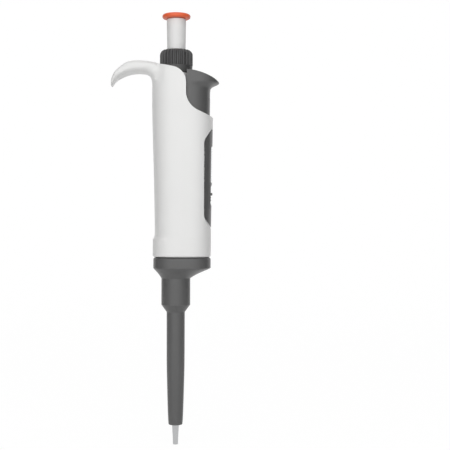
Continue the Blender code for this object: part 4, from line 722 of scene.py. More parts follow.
def clear_acrylic(name):
    """Polished cast acrylic: clear, with a faint unevenness of polish that breaks its reflections."""
    material, tree = new_finish(name)
    clouds = {"Scale": LENS_CLOUDS, "Detail": 2.0}
    polish = add(tree, "ShaderNodeTexNoise", clouds, {"Vector": object_points(tree)})
    gloss = add(
        tree,
        "ShaderNodeMapRange",
        {"From Min": 0.3, "From Max": 0.7, "To Min": 0.01, "To Max": 0.05},
        {"Value": polish.outputs["Fac"]},
    )
    shader = add(
        tree,
        "ShaderNodeBsdfPrincipled",
        {"Base Color": (0.93, 0.96, 0.97, 1.0), "IOR": 1.49, "Transmission Weight": 1.0},
        {"Roughness": gloss.outputs["Result"]},
    )
    add(tree, "ShaderNodeOutputMaterial", None, {"Surface": shader.outputs["BSDF"]})
    return material


def make_finishes(colours):
    """Every finish, by the record's material slot where it has one."""
    made = {}
    # ABS, injection moulded in a finely eroded mould: satin, nearly even. Its 0.1 mm grain is drawn at 0.3
    made["white_shell"] = moulded("moulded_white_abs", colours.shell, 0.36, 0.3, 0.0016, mottle=0.006)
    # Polypropylene moulding, slightly waxy
    waxy = moulded("moulded_white_polypropylene", colours.stem, 0.42, 0.4, 0.002, 1.49, 0.4, 0.008)
    made["white_stem"] = waxy
    # ABS dyed in the mass, satin
    made["orange_button"] = moulded("moulded_orange_abs", colours.button, 0.42, 0.35, 0.002, mottle=0.012)
    # ABS from a spark-eroded mould: satin, with a fine grain of 0.25 mm drawn at 0.4
    made["dark_trim"] = moulded("moulded_dark_abs", colours.trim, 0.36, 0.4, 0.003, 1.53, 0.4, 0.02)
    # The same ABS in a darker grey, a little duller
    made["dark_knob"] = moulded("moulded_charcoal_abs", colours.knob, 0.4, 0.4, 0.003, 1.53, 0.35, 0.02)
    # Polyamide with glass fibre: dull black, mottled where fibres reach the skin
    black = linear("#1C1C1E")
    made["black_frame"] = moulded("moulded_black_polyamide", black, 0.55, 0.5, 0.006, 1.53, 0.4, 0.08)
    # Acetal turned from bar: milky white, soft gloss
    made["acetal"] = moulded("turned_acetal", linear("#DCDCD6"), 0.4, 0.5, 0.003, 1.48, 0.4, 0.015)
    # Printed drum: smooth white moulding
    made["white_drum"] = moulded("moulded_white_drum", linear("#EFEFEB"), 0.4, 0.3, 0.001, mottle=0.006)
    # Fluoropolymer seal: chalky and dull
    chalky = linear("#EDEDEA")
    made["seal_plastic"] = moulded("skived_fluoropolymer", chalky, 0.6, 0.3, 0.004, 1.38, 0.3, 0.01)
    # Nitrile rubber: black, matt, with talc in its grain
    made["rubber"] = moulded("moulded_nitrile_rubber", linear("#17181A"), 0.75, 0.25, 0.006, 1.52, 0.3, 0.12)
    # Stainless steel, turned and passivated: bright. Its rings, 0.12 mm apart, are drawn at 1.57
    made["steel"] = turned_metal("turned_stainless_steel", linear("#B9BABB"), 0.13, 1.5708, 0.0006)
    # Free-cutting brass, turned: yellow, a little duller, with the same rings
    made["brass"] = turned_metal("turned_brass", linear("#C9A866"), 0.3, 1.5708, 0.0015)
    made["clear_window"] = clear_acrylic("polished_acrylic")
    # Pad-printing ink: black, dry and slightly glossy
    made["ink"] = moulded("pad_printed_ink", colours.ink, 0.45, 0.2, 0.001, 1.5, 0.4, 0.05)
    return made


FINISHES = {}


def finish(slot):
    """The finish of a slot, made when it is first asked for."""
    if slot not in FINISHES:
        FINISHES.update(make_finishes(bpy.context.scene.pipette_colours))
    return FINISHES[slot]


# Geometry node trees


def new_tree(name, sockets):
    """A geometry tree with named inputs, its input and output nodes, and the inputs' identifiers."""
    tree = bpy.data.node_groups.new(name, "GeometryNodeTree")
    tree.interface.new_socket("Geometry", in_out="INPUT", socket_type="NodeSocketGeometry")
    keys = {}
    for label, kind in sockets:
        keys[label] = tree.interface.new_socket(label, in_out="INPUT", socket_type=kind).identifier
    tree.interface.new_socket("Geometry", in_out="OUTPUT", socket_type="NodeSocketGeometry")
    return tree, add(tree, "NodeGroupInput").outputs, keys


def end_tree(tree, geometry, material):
    """Realize Instances and Set Material, then the tree's output."""
    real = add(tree, "GeometryNodeRealizeInstances", None, {"Geometry": geometry})
    dressed = add(
        tree, "GeometryNodeSetMaterial", None, {"Geometry": real.outputs["Geometry"], "Material": material}
    )
    add(tree, "NodeGroupOutput", None, {"Geometry": dressed.outputs["Geometry"]})


def grown(tree, keys, values, mesh=None):
    """The mesh that a tree makes from named values."""
    holder = bpy.data.objects.new("grown", mesh or bpy.data.meshes.new("grown"))
    bpy.context.scene.collection.objects.link(holder)
    step = holder.modifiers.new("Tree", "NODES")
    step.node_group = tree
    for label, value in values.items():
        step[keys[label]] = value
    return settled(holder)


def rib_tree():
    """Ribs set round the vertical axis on the body that the tree is given."""
    sockets = (("Ribs", "NodeSocketInt"), ("Rib", "NodeSocketObject"), ("Finish", "NodeSocketMaterial"))
    tree, given, keys = new_tree("Ribs round an axis", sockets)
    shape = add(tree, "GeometryNodeObjectInfo", None, {"Object": given["Rib"]})
    points = add(tree, "GeometryNodePoints", None, {"Count": given["Ribs"]})
    index = add(tree, "GeometryNodeInputIndex")
    step = add(tree, "ShaderNodeMath", {"operation": "DIVIDE", 0: tau}, {1: given["Ribs"]})
    angle = add(
        tree,
        "ShaderNodeMath",
        {"operation": "MULTIPLY"},
        {0: index.outputs["Index"], 1: step.outputs["Value"]},
    )
    turn = add(tree, "ShaderNodeCombineXYZ", None, {"Z": angle.outputs["Value"]})
    ribs = add(
        tree,
        "GeometryNodeInstanceOnPoints",
        None,
        {
            "Points": points.outputs["Points"],
            "Instance": shape.outputs["Geometry"],
            "Rotation": turn.outputs["Vector"],
        },
    )
    both = add(tree, "GeometryNodeJoinGeometry", None, {"Geometry": given["Geometry"]})
    tree.links.new(ribs.outputs["Instances"], both.inputs["Geometry"])
    end_tree(tree, both.outputs["Geometry"], given["Finish"])
    return tree, keys


def spring_tree():
    """A compression spring standing on its foot, with its end turns wound flat."""
    sockets = (
        ("Turns", "NodeSocketFloat"),
        ("Coil radius", "NodeSocketFloat"),
        ("Wire radius", "NodeSocketFloat"),
        ("Length", "NodeSocketFloat"),
        ("Foot", "NodeSocketVector"),
        ("Finish", "NodeSocketMaterial"),
    )
    tree, given, keys = new_tree("Compression spring", sockets)
    radius = given["Coil radius"]
    line = add(
        tree,
        "GeometryNodeCurveSpiral",
        {"Resolution": COIL_POINTS, "Height": 0.0},
        {"Rotations": given["Turns"], "Start Radius": radius, "End Radius": radius},
    )
    along = add(tree, "GeometryNodeSplineParameter")
    wound = add(
        tree,
        "ShaderNodeMath",
        {"operation": "MULTIPLY_ADD", 2: -FLAT_TURN},
        {0: along.outputs["Factor"], 1: given["Turns"]},
    )
    live = add(tree, "ShaderNodeMath", {"operation": "SUBTRACT", 1: 2 * FLAT_TURN}, {0: given["Turns"]})
    share = add(
        tree,
        "ShaderNodeMath",
        {"operation": "DIVIDE", "use_clamp": True},
        {0: wound.outputs["Value"], 1: live.outputs["Value"]},
    )
    stretch = add(
        tree,
        "ShaderNodeMath",
        {"operation": "MULTIPLY_ADD", 1: -2.0},
        {0: given["Wire radius"], 2: given["Length"]},
    )
    rise = add(
        tree,
        "ShaderNodeMath",
        {"operation": "MULTIPLY_ADD"},
        {0: share.outputs["Value"], 1: stretch.outputs["Value"], 2: given["Wire radius"]},
    )
    lift = add(tree, "ShaderNodeCombineXYZ", None, {"Z": rise.outputs["Value"]})
    raised = add(
        tree,
        "GeometryNodeSetPosition",
        None,
        {"Geometry": line.outputs["Curve"], "Offset": lift.outputs["Vector"]},
    )
    wire = add(
        tree,
        "GeometryNodeCurvePrimitiveCircle",
        {"Resolution": WIRE_POINTS},
        {"Radius": given["Wire radius"]},
    )
    swept = add(
        tree,
        "GeometryNodeCurveToMesh",
        {"Fill Caps": True},
        {"Curve": raised.outputs["Geometry"], "Profile Curve": wire.outputs["Curve"]},
    )
    placed = add(
        tree, "GeometryNodeTransform", None, {"Geometry": swept.outputs["Mesh"], "Translation": given["Foot"]}
    )
    end_tree(tree, placed.outputs["Geometry"], given["Finish"])
    return tree, keys


# Pieces


def handle_shell():
    """The white moulding: oval handle, tower, finger hook, knob pocket and panel opening."""
    rise_back = TOWER_TOP + (TOWER_FRONT + PAST) * TOWER_SLOPE
    drop_front = SHOULDER - (PAST - TOWER_FRONT) * SHOULDER_SLOPE
    free_edge = rounded(
        [
            (-PAST, 2 * SEAT, 0.0),
            (-PAST, rise_back, 0.0),
            (TOWER_FRONT, TOWER_TOP, TOWER_CORNER),
            (TOWER_FRONT, SHOULDER, SHOULDER_CORNER),
            (PAST, drop_front, 0.0),
            (PAST, 2 * SEAT, 0.0),
        ],
        3 * CORNER,
    )
    roof = POCKET_FLOOR - TOWER_ROOF
    cavity = carved(
        skinned(handle_rings(WALL, HANDLE_BOTTOM - WALL, POCKET_FLOOR + TOWER_ROOF, ROUND)),
        ("DIFFERENCE", block((TOWER_FRONT - WALL, -PAST, PARTITION_BOTTOM), (TOWER_FRONT, PAST, 2 * SEAT))),
        ("DIFFERENCE", block((-PAST, -PAST, roof), (TOWER_FRONT, PAST, 2 * SEAT))),
    )
    bore = turned(
        [
            (0.0, 2 * SEAT),
            (POCKET_RADIUS, 2 * SEAT),
            (POCKET_RADIUS, POCKET_FLOOR),
            (HOUSING_BORE, POCKET_FLOOR),
            (HOUSING_BORE, HOUSING_LIP[1]),
            (BUSH_BORE, HOUSING_LIP[1]),
            (BUSH_BORE, HOUSING_LIP[0]),
            (CLIP_ROOM, HOUSING_LIP[0]),
            (CLIP_ROOM, CUP_BOTTOM - GAP),
            (0.0, CUP_BOTTOM - GAP),
        ]
    )
    housing = turned(
        [
            (0.0, POCKET_FLOOR),
            (HOUSING_RADIUS, POCKET_FLOOR),
            (HOUSING_RADIUS, HOUSING_LIP[0]),
            (0.0, HOUSING_LIP[0]),
        ],
        count=ROUND,
    )
    top = HANDLE_BOTTOM + HANDLE_ROWS[-1][0]
    body = carved(
        skinned(handle_rings(0.0, HANDLE_BOTTOM, top)),
        ("DIFFERENCE", prism(free_edge)),
        ("UNION", finger_hook()),
    )
    corner = hollow_corner(body)
    body = carved(
        body,
        ("DIFFERENCE", cavity),
        ("UNION", housing),
        ("DIFFERENCE", bore),
        ("DIFFERENCE", prism(panel_outline(0.0))),
    )
    return blended(body, corner)


def hollow_corner(mesh):
    """A search tree of the middles of the hollow edges where the hook meets the handle."""
    cage = bmesh.new()
    cage.from_mesh(mesh)
    middles = [
        (edge.verts[0].co + edge.verts[1].co) / 2
        for edge in cage.edges
        if edge.is_manifold and edge.calc_face_angle_signed() < -HOLLOW_ANGLE and edge.verts[0].co.x < 0.0
    ]
    cage.free()
    corner = kdtree.KDTree(len(middles))
    for index, point in enumerate(middles):
        corner.insert(point, index)
    corner.balance()
    return corner


def blended(mesh, corner):
    """The mesh with that hollow corner relaxed into a smooth fillet, and its sharp crests kept."""
    cage = bmesh.new()
    cage.from_mesh(mesh)
    bmesh.ops.triangulate(cage, faces=cage.faces)
    for _ in range(BLEND_SPLITS):
        long = [
            edge
            for edge in cage.edges
            if edge.calc_length() > BLEND_EDGE
            and corner.find((edge.verts[0].co + edge.verts[1].co) / 2)[2] < BLEND
        ]
        bmesh.ops.subdivide_edges(cage, edges=long, cuts=1)
        bmesh.ops.triangulate(cage, faces=[face for face in cage.faces if len(face.verts) > 3])
    crests = {
        vertex
        for edge in cage.edges
        if edge.is_manifold and edge.calc_face_angle_signed() > CREST_ANGLE
        for vertex in edge.verts
    }
    near = [vertex for vertex in cage.verts if vertex not in crests and corner.find(vertex.co)[2] < BLEND]
    pull = [(1.0 - (corner.find(vertex.co)[2] / BLEND) ** 2) ** 2 for vertex in near]
    around = [[edge.other_vert(vertex) for edge in vertex.link_edges] for vertex in near]
    for _ in range(BLEND_ROUNDS):
        places = [sum((other.co for other in ring), Vector()) / len(ring) for ring in around]
        for vertex, place, share in zip(near, places, pull):
            vertex.co = vertex.co.lerp(place, BLEND_RATE * share)
    cage.to_mesh(mesh)
    cage.free()
    return mesh


def finger_hook():
    """The hook as one smooth limb between its rows."""
    table = [(index, *outer, *inner, half) for index, (outer, inner, half) in enumerate(HOOK_ROWS)]
    rings = []
    for _, outer_x, outer_z, inner_x, inner_z, half in eased(table, 1.0 / HOOK_STEPS):
        middle = Vector((outer_x + inner_x, outer_z + inner_z)) / 2
        arm = Vector((outer_x - inner_x, outer_z - inner_z)) / 2
        ring = []
        for index in range(HOOK_POINTS):
            angle = tau * index / HOOK_POINTS
            across = signed_power(cos(angle), 2 / HOOK_POWER) * half
            spot = middle + arm * signed_power(sin(angle), 2 / HOOK_POWER)
            ring.append((spot.x, across, HOOK_HEIGHT + spot.y))
        rings.append(ring)
    return skinned(rings)


def panel_outline(inset):
    """Side view of the panel's edge, with slanting ends, open past the handle's front."""
    front = handle_row(sum(PANEL) / 2)[1]
    back = PANEL_BACK + inset
    margin = inset * hypot(1.0, PANEL_SLANT)
    rise = margin + (front - back) * PANEL_SLANT
    spread = (PAST - front) * PANEL_SLANT - margin
    corner = PANEL_CORNER - inset
    return rounded(
        [
            (PAST, PANEL[0] - spread, 0.0),
            (back, PANEL[0] + rise, corner),
            (back, PANEL[1] - rise, corner),
            (PAST, PANEL[1] + spread, 0.0),
        ]
    )


def display_panel():
    """The dark panel with its scooped lock recess and the window's bevelled frame."""
    low, high = PANEL[0] - WALL, PANEL[1] + WALL
    scoop_low, scoop_high = SCOOP
    scoop_middle = (scoop_low + scoop_high) / 2
    front = handle_row(scoop_middle)[1]
    half = (scoop_high - scoop_low) / 2
    radius = (half**2 + SCOOP_DEPTH**2) / (2 * SCOOP_DEPTH)
    scoop_x = front - SCOOP_DEPTH + radius
    turns = [tau * index / FINE for index in range(FINE)]
    circle = [(scoop_x + radius * cos(turn), scoop_middle + radius * sin(turn)) for turn in turns]
    rail_back = PAD_BACK - GAP - LOCK_PLATE
    pad_low = scoop_low - PAD_MARGIN
    pad_high = scoop_high + PAD_MARGIN
    steps = [
        ("INTERSECT", prism(panel_outline(GAP))),
        ("DIFFERENCE", skinned(handle_rings(WALL, low - WALL, high + WALL, ROUND))),
        ("UNION", block((PAD_BACK, -PAD_HALF, pad_low), (front - WALL / 2, PAD_HALF, pad_high))),
    ]
    for hand in (-1, 1):
        edges = sorted((hand * PAD_HALF, hand * (PAD_HALF - RAIL_WIDTH)))
        rail = block((rail_back, edges[0], pad_low), (PAD_BACK + GAP, edges[1], pad_high))
        steps.append(("UNION", rail))
    slot_half = LOCK_HALF + GAP
    slot_top = LOCK_BOTTOM + LOCK_HEIGHT + LOCK_TRAVEL + GAP
    steps += [
        ("DIFFERENCE", prism(circle, SCOOP_HALF)),
        ("DIFFERENCE", block((rail_back, -slot_half, LOCK_BOTTOM - GAP), (PAST, slot_half, slot_top))),
        ("DIFFERENCE", window_cutter(GAP)),
    ]
    return carved(skinned(handle_rings(0.0, low, high)), *steps)


def window_cutter(gap):
    """The window's opening, widened by a bevel at the panel's face."""
    low, high = WINDOW[0] - gap, WINDOW[1] + gap
    half = WINDOW_HALF + gap
    face = handle_row((low + high) / 2)[1]
    steps = ((TOWER_FRONT, 0.0), (face - WINDOW_BEVEL, 0.0), (face + WINDOW_BEVEL, 2 * WINDOW_BEVEL))
    rings = []
    for x, spread in steps:
        rings.append(
            [
                (x, -half - spread, low - spread),
                (x, half + spread, low - spread),
                (x, half + spread, high + spread),
                (x, -half - spread, high + spread),
            ]
        )
    return skinned(rings)


def window_lens():
    """The clear pane, curved as the handle's front is."""
    low, high = WINDOW
    return carved(
        skinned(handle_rings(LENS_RECESS, low, high)),
        ("DIFFERENCE", skinned(handle_rings(LENS_RECESS + LENS_THICKNESS, low - WALL, high + WALL))),
        ("INTERSECT", block((TOWER_FRONT, -WINDOW_HALF, low - WALL), (PAST, WINDOW_HALF, high + WALL))),
    )


def lock_slider():
    """The lock's guided plate, its thumb button with rounded ribs, and its finger."""
    front = PAD_BACK - GAP
    root = front - LOCK_ROOT
    half = PAD_HALF - RAIL_WIDTH - GAP
    nick, edge = LOCK_EDGES
    corners = []
    for reach, low, high in LOCK_RIBS:
        corners += [(LOCK_FACE, LOCK_BOTTOM + low, nick), (reach, LOCK_BOTTOM + low, edge)]
        corners += [(reach, LOCK_BOTTOM + high, edge), (LOCK_FACE, LOCK_BOTTOM + high, nick)]
    corners[0] = (root, LOCK_BOTTOM, 0.0)
    corners[-1] = (root, LOCK_BOTTOM + LOCK_HEIGHT, 0.0)
    finger_low = (LOCK_FINGER_BACK, -LOCK_FINGER_HALF, LOCK_FINGER_TOP - LOCK_FINGER_DROP)
    return carved(
        block((front - LOCK_PLATE, -half, LOCK_BOTTOM - LOCK_GUIDE), (front, half, LOCK_FINGER_TOP)),
        ("UNION", prism(rounded(corners, 4), LOCK_HALF)),
        ("UNION", block(finger_low, (root, LOCK_FINGER_HALF, LOCK_FINGER_TOP))),
    )


def push_button_cap():
    """The cap, a disc with a round rim, and the pin that holds it in the stem."""
    corners = [
        (0.0, CAP[1], 0.0),
        (CAP_RADIUS, CAP[1], CAP_EDGE),
        (CAP_RADIUS, CAP[0], CAP_EDGE),
        (CAP_PIN, CAP[0], 0.0),
        (CAP_PIN, CAP_PIN_BOTTOM, 0.0),
        (0.0, CAP_PIN_BOTTOM, 0.0),
    ]
    return turned(rounded(corners))


def push_button_stem():
    """The hollow stem, waisted where it leaves the knob."""
    low, high = STEM
    corners = [
        (STEM_RADII[1], high, STEM_EDGES[1]),
        (STEM_RADII[1], CAP_PIN_BOTTOM, STEM_BEND),
        (STEM_RADII[0], KNOB[1] + STEM_WAIST, STEM_BEND),
        (STEM_RADII[0], low, STEM_EDGES[0]),
        (ROD_ROOM[0], low, 0.0),
        (ROD_ROOM[0], ROD_ROOM[1], 0.0),
        (CAP_PIN + GAP, ROD_ROOM[1], 0.0),
        (CAP_PIN + GAP, high, 0.0),
    ]
    return turned(rounded(corners, 6))


def knob_profile(depth):
    """The knob's outer side, from its band up to its shoulder's top, sunk by a depth above the band."""
    low, high = KNOB
    shoulder = high - KNOB_SHOULDER
    crown = KNOB_RADIUS - KNOB_SHOULDER
    points = [(KNOB_RADIUS - depth, low + KNOB_BAND), (KNOB_RADIUS - depth, shoulder)]
    for step in range(1, CORNER + 1):
        angle = pi / 2 * step / CORNER
        sunk = depth * max(0.0, 1.0 - (step / CORNER) ** 3)
        reach = KNOB_SHOULDER - sunk
        points.append((crown + reach * cos(angle), shoulder + reach * sin(angle)))
    return points


def volume_knob(ribs, depth):
    """The knob's hollow body, with ribs set round it by geometry nodes."""
    low, high = KNOB
    band = KNOB_RADIUS - KNOB_BAND_INSET
    edge = KNOB_BAND_INSET
    profile = [(band - edge, low), (band, low + edge), (band, low + KNOB_BAND - edge)]
    profile += [(band - edge, low + KNOB_BAND)] + knob_profile(depth)
    profile += [
        (STEM_CLEARANCE, high),
        (STEM_CLEARANCE, high - KNOB_LIP),
        (KNOB_BORE, high - KNOB_LIP),
        (KNOB_BORE, KNOB_SKIRT_TOP),
        (KNOB_SKIRT_BORE, KNOB_SKIRT_TOP),
        (KNOB_SKIRT_BORE, low),
    ]
    body = turned(profile)
    width = tau * KNOB_RADIUS / ribs * RIB_SHARE
    outer = knob_profile(0.0)[:-2]
    inner = knob_profile(depth + RIB_ROOT)[:-2]
    middle = (RIB_COLUMNS - 1) / 2
    sunk = RIB_ROOT / (depth + RIB_ROOT)
    rings = []
    for (outer_r, outer_z), (inner_r, inner_z) in zip(outer, inner):
        rise = Vector((outer_r - inner_r, outer_z - inner_z))
        ring = []
        for column in range(RIB_COLUMNS):
            share = (column - middle) / middle
            swell = 1.0 - (1.0 - sunk) * abs(share) ** RIB_POWER
            spot = Vector((inner_r, inner_z)) + rise * swell
            across = share * width / 2
            ring.append((spot.x, across, spot.y))
        ring += [(inner_r, width / 2, inner_z), (inner_r, -width / 2, inner_z)]
        rings.append(ring)
    rib = bpy.data.objects.new("rib", skinned(rings))
    bpy.context.scene.collection.objects.link(rib)
    tree, keys = rib_tree()
    mesh = grown(tree, keys, {"Ribs": ribs, "Rib": rib, "Finish": finish("dark_knob")}, body)
    bpy.data.objects.remove(rib)
    return mesh


def ejector_button():
    """The thumb button: a hood in the handle's shoulder whose front sweeps out to a spur."""
    fronts = eased([(BUTTON_TOP - drop, front) for drop, front in SPUR_ROWS], SPUR_STEP)
    rings = handle_rings(BUTTON_INSET, BUTTON_SKIRT, fronts[0][0] - GAP)
    for height, front in fronts:
        row_back, _, half_depth = handle_row(height)
        rings.append(oval(row_back + BUTTON_INSET, front, half_depth - BUTTON_INSET, height))
    low = BUTTON_SKIRT - GAP
    side = [tuple(row) for row in eased(BUTTON_TOP_ROWS, BUTTON_TOP_STEP)]
    side += [(side[-1][0], low), (BUTTON_BACK, low)]
    hollow = carved(
        skinned(handle_rings(BUTTON_INSET + BUTTON_WALL, BUTTON_SKIRT - WALL, BUTTON_ROOF, ROUND)),
        ("INTERSECT", block((BUTTON_BACK + BUTTON_WALL, -PAST, 0.0), (PAST, PAST, BUTTON_TOP))),
    )
    boss_radius, boss_length = BUTTON_BOSS
    boss_low = BUTTON_ROOF - boss_length
    boss_top = BUTTON_ROOF + GAP
    post = [(0.0, boss_top), (boss_radius, boss_top), (boss_radius, boss_low), (0.0, boss_low)]
    skin = handle_rings(BUTTON_INSET + BUTTON_WALL / 2, boss_low - WALL, BUTTON_TOP, ROUND)
    boss = carved(turned(post, ROD_X, ROD_Y, ROUND), ("INTERSECT", skinned(skin)))
    low = BUTTON_SKIRT - 2 * WALL
    bore_top = BUTTON_ROOF - 2 * GAP
    bore = turned([(0.0, bore_top), (ROD_BORE, bore_top), (ROD_BORE, low), (0.0, low)], ROD_X, ROD_Y, ROUND)
    notch_radius = HOUSING_RADIUS + GAP
    notch = turned([(0.0, KNOB[1]), (notch_radius, KNOB[1]), (notch_radius, low), (0.0, low)])
    return carved(
        skinned(rings),
        ("INTERSECT", prism(side)),
        ("DIFFERENCE", hollow),
        ("UNION", boss),
        ("DIFFERENCE", bore),
        ("DIFFERENCE", notch),
    )


def ejector_sleeve():
    """The long sleeve: slim tube, cone and neck, flaring to the oval collar under the handle."""
    round_rows = eased(SLEEVE_ROWS[:-1], SLEEVE_STEP) + eased(SLEEVE_ROWS[-2:], CONE_STEP)[1:]
    lip_height, lip_radius = SLEEVE_ROWS[0]
    lip = lip_radius - SLEEVE_LIP
    rings = [oval(-lip, lip, lip, lip_height, 2)]
    for height, radius in round_rows:
        rings.append(oval(-radius, radius, radius, max(height, lip_height + SLEEVE_LIP), 2))
    neck = SLEEVE_ROWS[-1][1]
    back, front, half_depth = HANDLE_ROWS[1][1:]
    rim = (back + RIM_INSET, front, half_depth - RIM_INSET)
    for share, spread in eased(FLARE_ROWS, FLARE_STEP):
        rings.append(
            oval(
                -neck + (rim[0] + neck) * spread,
                neck + (rim[1] - neck) * spread,
                neck + (rim[2] - neck) * spread,
                FLARE[0] + (FLARE[1] - FLARE[0]) * share,
                2 + (HANDLE_POWER - 2) * spread,
            )
        )
    for step in range(RIM_FACETS + 1):
        angle = pi / 2 * step / RIM_FACETS
        inset = RIM_EDGE * (1 - cos(angle))
        height = RIM_TOP - RIM_EDGE * (1 - sin(angle))
        rings.append(oval(rim[0] + inset, rim[1] - inset, rim[2] - inset, height))
    inner = [(radius - SLEEVE_WALL, height) for height, radius in reversed(round_rows)]
    cavity = neck - SLEEVE_WALL
    top = HANDLE_BOTTOM
    bore = [(0.0, top), (cavity, top), *inner, (lip_radius - SLEEVE_WALL, 0.0), (0.0, 0.0)]
    socket = [(0.0, top), (ROD_BORE, top), (ROD_BORE, SOCKET_BOTTOM), (0.0, SOCKET_BOTTOM)]
    return carved(
        skinned(rings), ("DIFFERENCE", turned(bore)), ("DIFFERENCE", turned(socket, ROD_X, ROD_Y, ROUND))
    )


def nozzle():
    """The steel nozzle, with its shoulder, cone and stepped bore."""
    return turned(rounded(NOZZLE_CORNERS, 4), count=ROUND)


def drum_digits(band_bottom, shown, height):
    """Ten digits printed round a drum, with the shown one facing the window."""
    radius = DRUM_RADIUS + DRUM_SKIN
    middle = band_bottom + DRUM_BAND / 2
    cage = bmesh.new()
    for digit in range(DIGITS):
        words = bpy.data.curves.new("digit", "FONT")
        words.body = str(digit)
        words.size = height / DIGIT_SHARE
        words.align_x = "CENTER"
        words.align_y = "CENTER"
        words.extrude = INK / 2
        words.resolution_u = DIGIT_FACETS
        holder = bpy.data.objects.new("digit", words)
        bpy.context.scene.collection.objects.link(holder)
        mesh = settled(holder)
        flat = bmesh.new()
        flat.from_mesh(mesh)
        low = min(vertex.co.y for vertex in flat.verts)
        high = max(vertex.co.y for vertex in flat.verts)
        for cut in range(-DIGIT_CUTS, DIGIT_CUTS + 1):
            everything = flat.verts[:] + flat.edges[:] + flat.faces[:]
            place = (cut * height / (2 * DIGIT_CUTS), 0, 0)
            bmesh.ops.bisect_plane(flat, geom=everything, plane_co=place, plane_no=(1, 0, 0))
        angle = tau * (digit - shown) / DIGITS
        for vertex in flat.verts:
            around = angle + vertex.co.x / radius
            reach = radius + vertex.co.z
            up = middle + vertex.co.y - (low + high) / 2
            vertex.co = (DRUM_X + reach * cos(around), reach * sin(around), up)
        flat.to_mesh(mesh)
        flat.free()
        cage.from_mesh(mesh)
    made = bpy.data.meshes.new("digits")
    cage.to_mesh(made)
    cage.free()
    return made


# Operators


class PIPETTE_OT_mechanism(bpy.types.Operator):
    """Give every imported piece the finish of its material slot"""

    bl_idname = "pipette.mechanism"
    bl_label = "Mechanism"

    def execute(self, context):
        for name, node in frame["nodes"].items():
            node.data.materials.clear()
            node.data.materials.append(finish(NODE_SLOTS[name]))
        return {"FINISHED"}


class PIPETTE_OT_handle_shell(bpy.types.Operator):
    """Mould the white handle shell with its finger hook"""

    bl_idname = "pipette.handle_shell"
    bl_label = "Handle shell"

    def execute(self, context):
        add_piece("shell_moulding", handle_shell(), finish("white_shell"), "handle", "handle_shell")
        return {"FINISHED"}


class PIPETTE_OT_display(bpy.types.Operator):
    """Mould the display panel and its clear window"""

    bl_idname = "pipette.display"
    bl_label = "Display panel and window"

    def execute(self, context):
        add_piece("panel_moulding", display_panel(), finish("dark_trim"), "handle", "display_panel")
        add_piece("window_pane", window_lens(), finish("clear_window"), "handle", "window_lens")
        return {"FINISHED"}


class PIPETTE_OT_lock_slider(bpy.types.Operator):
    """Mould the ribbed lock slider"""

    bl_idname = "pipette.lock_slider"
    bl_label = "Lock slider"

    def execute(self, context):
        add_piece("lock_moulding", lock_slider(), finish("dark_trim"), "lock", "lock_slider")
        return {"FINISHED"}


class PIPETTE_OT_push_button(bpy.types.Operator):
    """Mould the push button's cap and stem"""

    bl_idname = "pipette.push_button"
    bl_label = "Push button"

    def execute(self, context):
        add_piece("cap_moulding", push_button_cap(), finish("orange_button"), "plunger", "button_cap")
        add_piece("stem_moulding", push_button_stem(), finish("white_stem"), "plunger", "button_stem")
        return {"FINISHED"}


class PIPETTE_OT_volume_knob(bpy.types.Operator):
    """Mould the ribbed volume knob"""

    bl_idname = "pipette.volume_knob"
    bl_label = "Volume knob"

    def execute(self, context):
        sizes = context.scene.pipette_sizes
        mesh = volume_knob(sizes.rib_count, sizes.rib_depth)
        add_piece("knob_moulding", mesh, finish("dark_knob"), "knob", "adjusting_knob")
        return {"FINISHED"}


class PIPETTE_OT_ejector(bpy.types.Operator):
    """Mould the ejector's thumb button and its long sleeve"""

    bl_idname = "pipette.ejector"
    bl_label = "Ejector"

    def execute(self, context):
        add_piece("thumb_moulding", ejector_button(), finish("dark_trim"), "ejector", "ejector_button")
        add_piece("sleeve_moulding", ejector_sleeve(), finish("dark_trim"), "ejector", "ejector_sleeve")
        return {"FINISHED"}


class PIPETTE_OT_nozzle(bpy.types.Operator):
    """Turn the steel nozzle"""

    bl_idname = "pipette.nozzle"
    bl_label = "Nozzle"

    def execute(self, context):
        add_piece("nozzle_turning", nozzle(), finish("steel"), "handle", "nozzle")
        return {"FINISHED"}


class PIPETTE_OT_number_drums(bpy.types.Operator):
    """Skin the number drums and print their digits"""

    bl_idname = "pipette.number_drums"
    bl_label = "Number drums"

    def execute(self, context):
        height = context.scene.pipette_sizes.digit_height
        for body, node, bottom, shown in DRUMS:
            skin = [
                (DRUM_RADIUS + DRUM_SKIN, bottom + DRUM_BAND - DRUM_SKIN),
                (DRUM_RADIUS + DRUM_SKIN, bottom + DRUM_SKIN),
                (DRUM_RADIUS - DRUM_SKIN, bottom - DRUM_SKIN),
                (DRUM_RADIUS - 2 * DRUM_SKIN, bottom + DRUM_SKIN),
                (DRUM_RADIUS - 2 * DRUM_SKIN, bottom + DRUM_BAND - DRUM_SKIN),
                (DRUM_RADIUS - DRUM_SKIN, bottom + DRUM_BAND + DRUM_SKIN),
            ]
            name = node.replace("drum_", "")
            add_piece(f"band_{name}", turned(skin, DRUM_X), finish("white_drum"), body)
            digits = drum_digits(bottom, shown, height)
            add_piece(f"digits_{name}", digits, finish("ink"), body, edge=60)
        return {"FINISHED"}


class PIPETTE_OT_springs(bpy.types.Operator):
    """Wind the three springs"""

    bl_idname = "pipette.springs"
    bl_label = "Springs"

    def execute(self, context):
        tree, keys = spring_tree()
        for node, body, joint, travel, axis, coil, wire, bottom, length, turns in SPRINGS:
            values = {
                "Turns": float(turns),
                "Coil radius": coil,
                "Wire radius": wire,
                "Length": length,
                "Foot": (*axis, bottom),
                "Finish": finish("steel"),
            }
            made = add_piece(f"{node}_wire", grown(tree, keys, values), finish("steel"), body, node)
            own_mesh(made)
        return {"FINISHED"}


